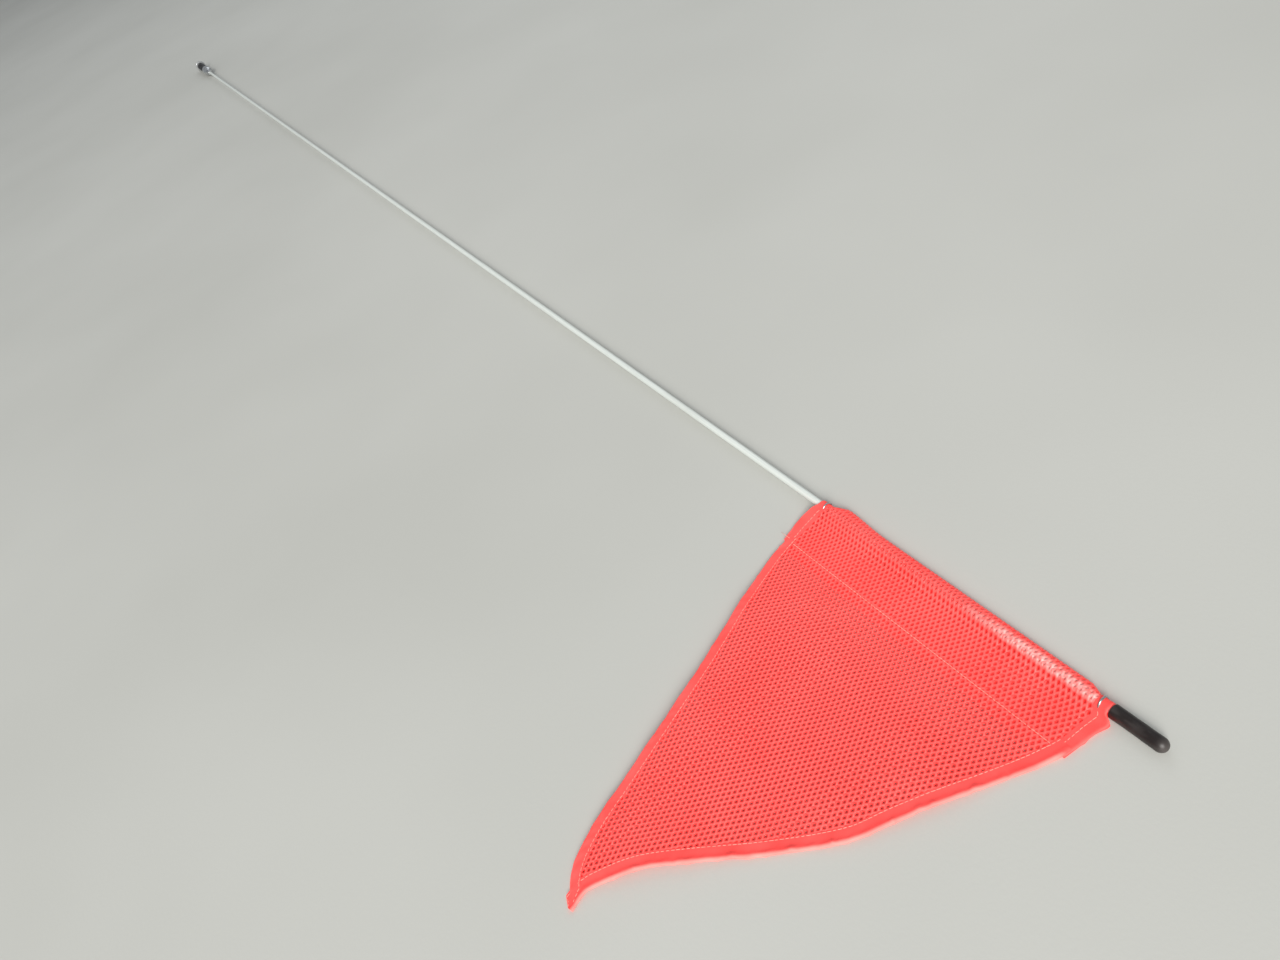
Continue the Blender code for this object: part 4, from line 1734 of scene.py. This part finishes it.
    def rings(self) -> list[Piece]:
        """Bend the two hog rings that pinch the sleeve to the rod."""
        made = []
        share = np.linspace(0.0, 1.0, 84)
        angle = self.ring_opening + self.ring_gap / 2 + (2 * math.pi - self.ring_gap) * share
        out = self.ring_radius * np.cos(angle)
        rise = self.ring_radius * np.sin(angle)
        point = np.minimum(share, 1 - share) / self.ring_point
        radii = self.ring_wire * np.clip(0.25 + 0.75 * point, 0.25, 1.0)
        for side in SIDES:
            along = side.start + side.inward * self.ring_inset
            path = self.drape.pivot + np.stack(
                [along + out * math.tan(self.ring_skew), -out,
                 rise - along * self.drape.slope], axis=1)
            ring = lofted(side.word + "_ring", sweep(path, radii, 16), Finish.RING)
            made.append(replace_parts(ring, side.word + "_hog_ring"))
        return made

    def loose_end(self) -> Piece:
        """Leave the short tail of thread where the lower tapes meet."""
        share = np.linspace(0.0, 1.0, 12)
        s = self.loose_start[0] - self.loose_length * share
        t = self.loose_start[1] + 0.0008 * np.sin(3.0 * share)
        height = 0.0034 + 0.0014 * np.sin(math.pi * share) - 0.0008 * share
        path = np.stack([self.drape.pivot[0] + s, self.drape.pivot[1] - t, height], axis=1)
        return lofted("loose_thread_end",
                      sweep(path, self.loose_radius * (1 - 0.4 * share), 6), Finish.THREAD)


# ---------------------------------------------------------------------- studio


@dataclass
class Studio:
    """The floor, the lights and the camera."""

    eye: tuple[float, float, float] = (1.7971, -0.1098, 0.6236)
    heading: float = math.radians(-75.09)
    pitch_down: float = math.radians(39.88)
    roll: float = math.radians(-26.96)
    lens: float = 28.32
    floor_half: float = 18.0
    sky_color: Color = (0.90, 0.95, 1.0)
    sky_strength: float = 0.33

    def build(self) -> None:
        """Set up everything that isn't part of the object."""
        self.floor()
        self.light("key", (8.4, -3.9, 5.7), 5.2, 1290.0, (1.0, 0.985, 0.95), (0.9, 0.1, 0.0))
        self.light("fill", (-2.6, 2.6, 3.2), 3.5, 36.0, (0.93, 0.97, 1.0), (0.0, 0.1, 0.0))
        self.sky()
        self.camera()

    def floor(self) -> None:
        """Lay the floor under the object."""
        half = self.floor_half
        steps = np.linspace(-half, half, 13)
        x, y = np.meshgrid(steps, steps, indexing="ij")
        points = np.stack([x, y, np.zeros_like(x)], axis=-1).reshape(-1, 3)
        size = len(steps)
        faces = [(i * size + j, (i + 1) * size + j, (i + 1) * size + j + 1, i * size + j + 1)
                 for i in range(size - 1) for j in range(size - 1)]
        mesh = bpy.data.meshes.new("studio_floor")
        mesh.from_pydata(points.tolist(), [], faces)
        mesh.materials.append(StudioFloor().make())
        made = bpy.data.objects.new("studio_floor", mesh)
        bpy.context.scene.collection.objects.link(made)

    def light(self, name: str, place: Color, size: float, power: float, color: Color,
              target: Color) -> None:
        """Hang a soft square light.

        Args:
            name: the light's name.
            place: where it hangs.
            size: its side.
            power: its power in watts.
            color: its colour.
            target: the point that it faces.
        """
        lamp = bpy.data.lights.new(name, "AREA")
        lamp.shape = "SQUARE"
        lamp.size = size
        lamp.energy = power
        lamp.color = color
        made = bpy.data.objects.new(name, lamp)
        made.location = place
        aim = Vector(target) - Vector(place)
        made.rotation_euler = aim.to_track_quat("-Z", "Y").to_euler()
        bpy.context.scene.collection.objects.link(made)

    def sky(self) -> None:
        """Fill the room with even light."""
        world = bpy.data.worlds.new("studio")
        world.use_nodes = True
        background = world.node_tree.nodes["Background"]
        background.inputs["Color"].default_value = (*self.sky_color, 1.0)
        background.inputs["Strength"].default_value = self.sky_strength
        bpy.context.scene.world = world

    def camera(self) -> None:
        """Point the camera along the whip from above its tip."""
        level = math.cos(self.pitch_down)
        ahead = Vector((math.sin(self.heading) * level, math.cos(self.heading) * level,
                        -math.sin(self.pitch_down)))
        right = ahead.cross(Vector((0.0, 0.0, 1.0))).normalized()
        up = right.cross(ahead)
        across = right * math.cos(self.roll) + up * math.sin(self.roll)
        above = up * math.cos(self.roll) - right * math.sin(self.roll)
        data = bpy.data.cameras.new("camera")
        data.lens = self.lens
        data.sensor_width = 36.0
        made = bpy.data.objects.new("camera", data)
        turn = Matrix((across, above, -ahead)).transposed()
        made.matrix_world = Matrix.Translation(Vector(self.eye)) @ turn.to_4x4()
        bpy.context.scene.collection.objects.link(made)
        bpy.context.scene.camera = made


def main() -> None:
    """Build the whip and its studio."""
    logging.basicConfig(level=logging.INFO, format="%(name)s: %(message)s")
    bpy.context.scene.view_settings.view_transform = "Standard"
    Studio().build()
    line = RodLine.from_frame()
    BaseFitting(line).build()
    BaseSpring(line).build()
    WhipRod(line).build()
    TipCap(line).build()
    Flag(line).build()


if __name__ == "__main__":
    main()
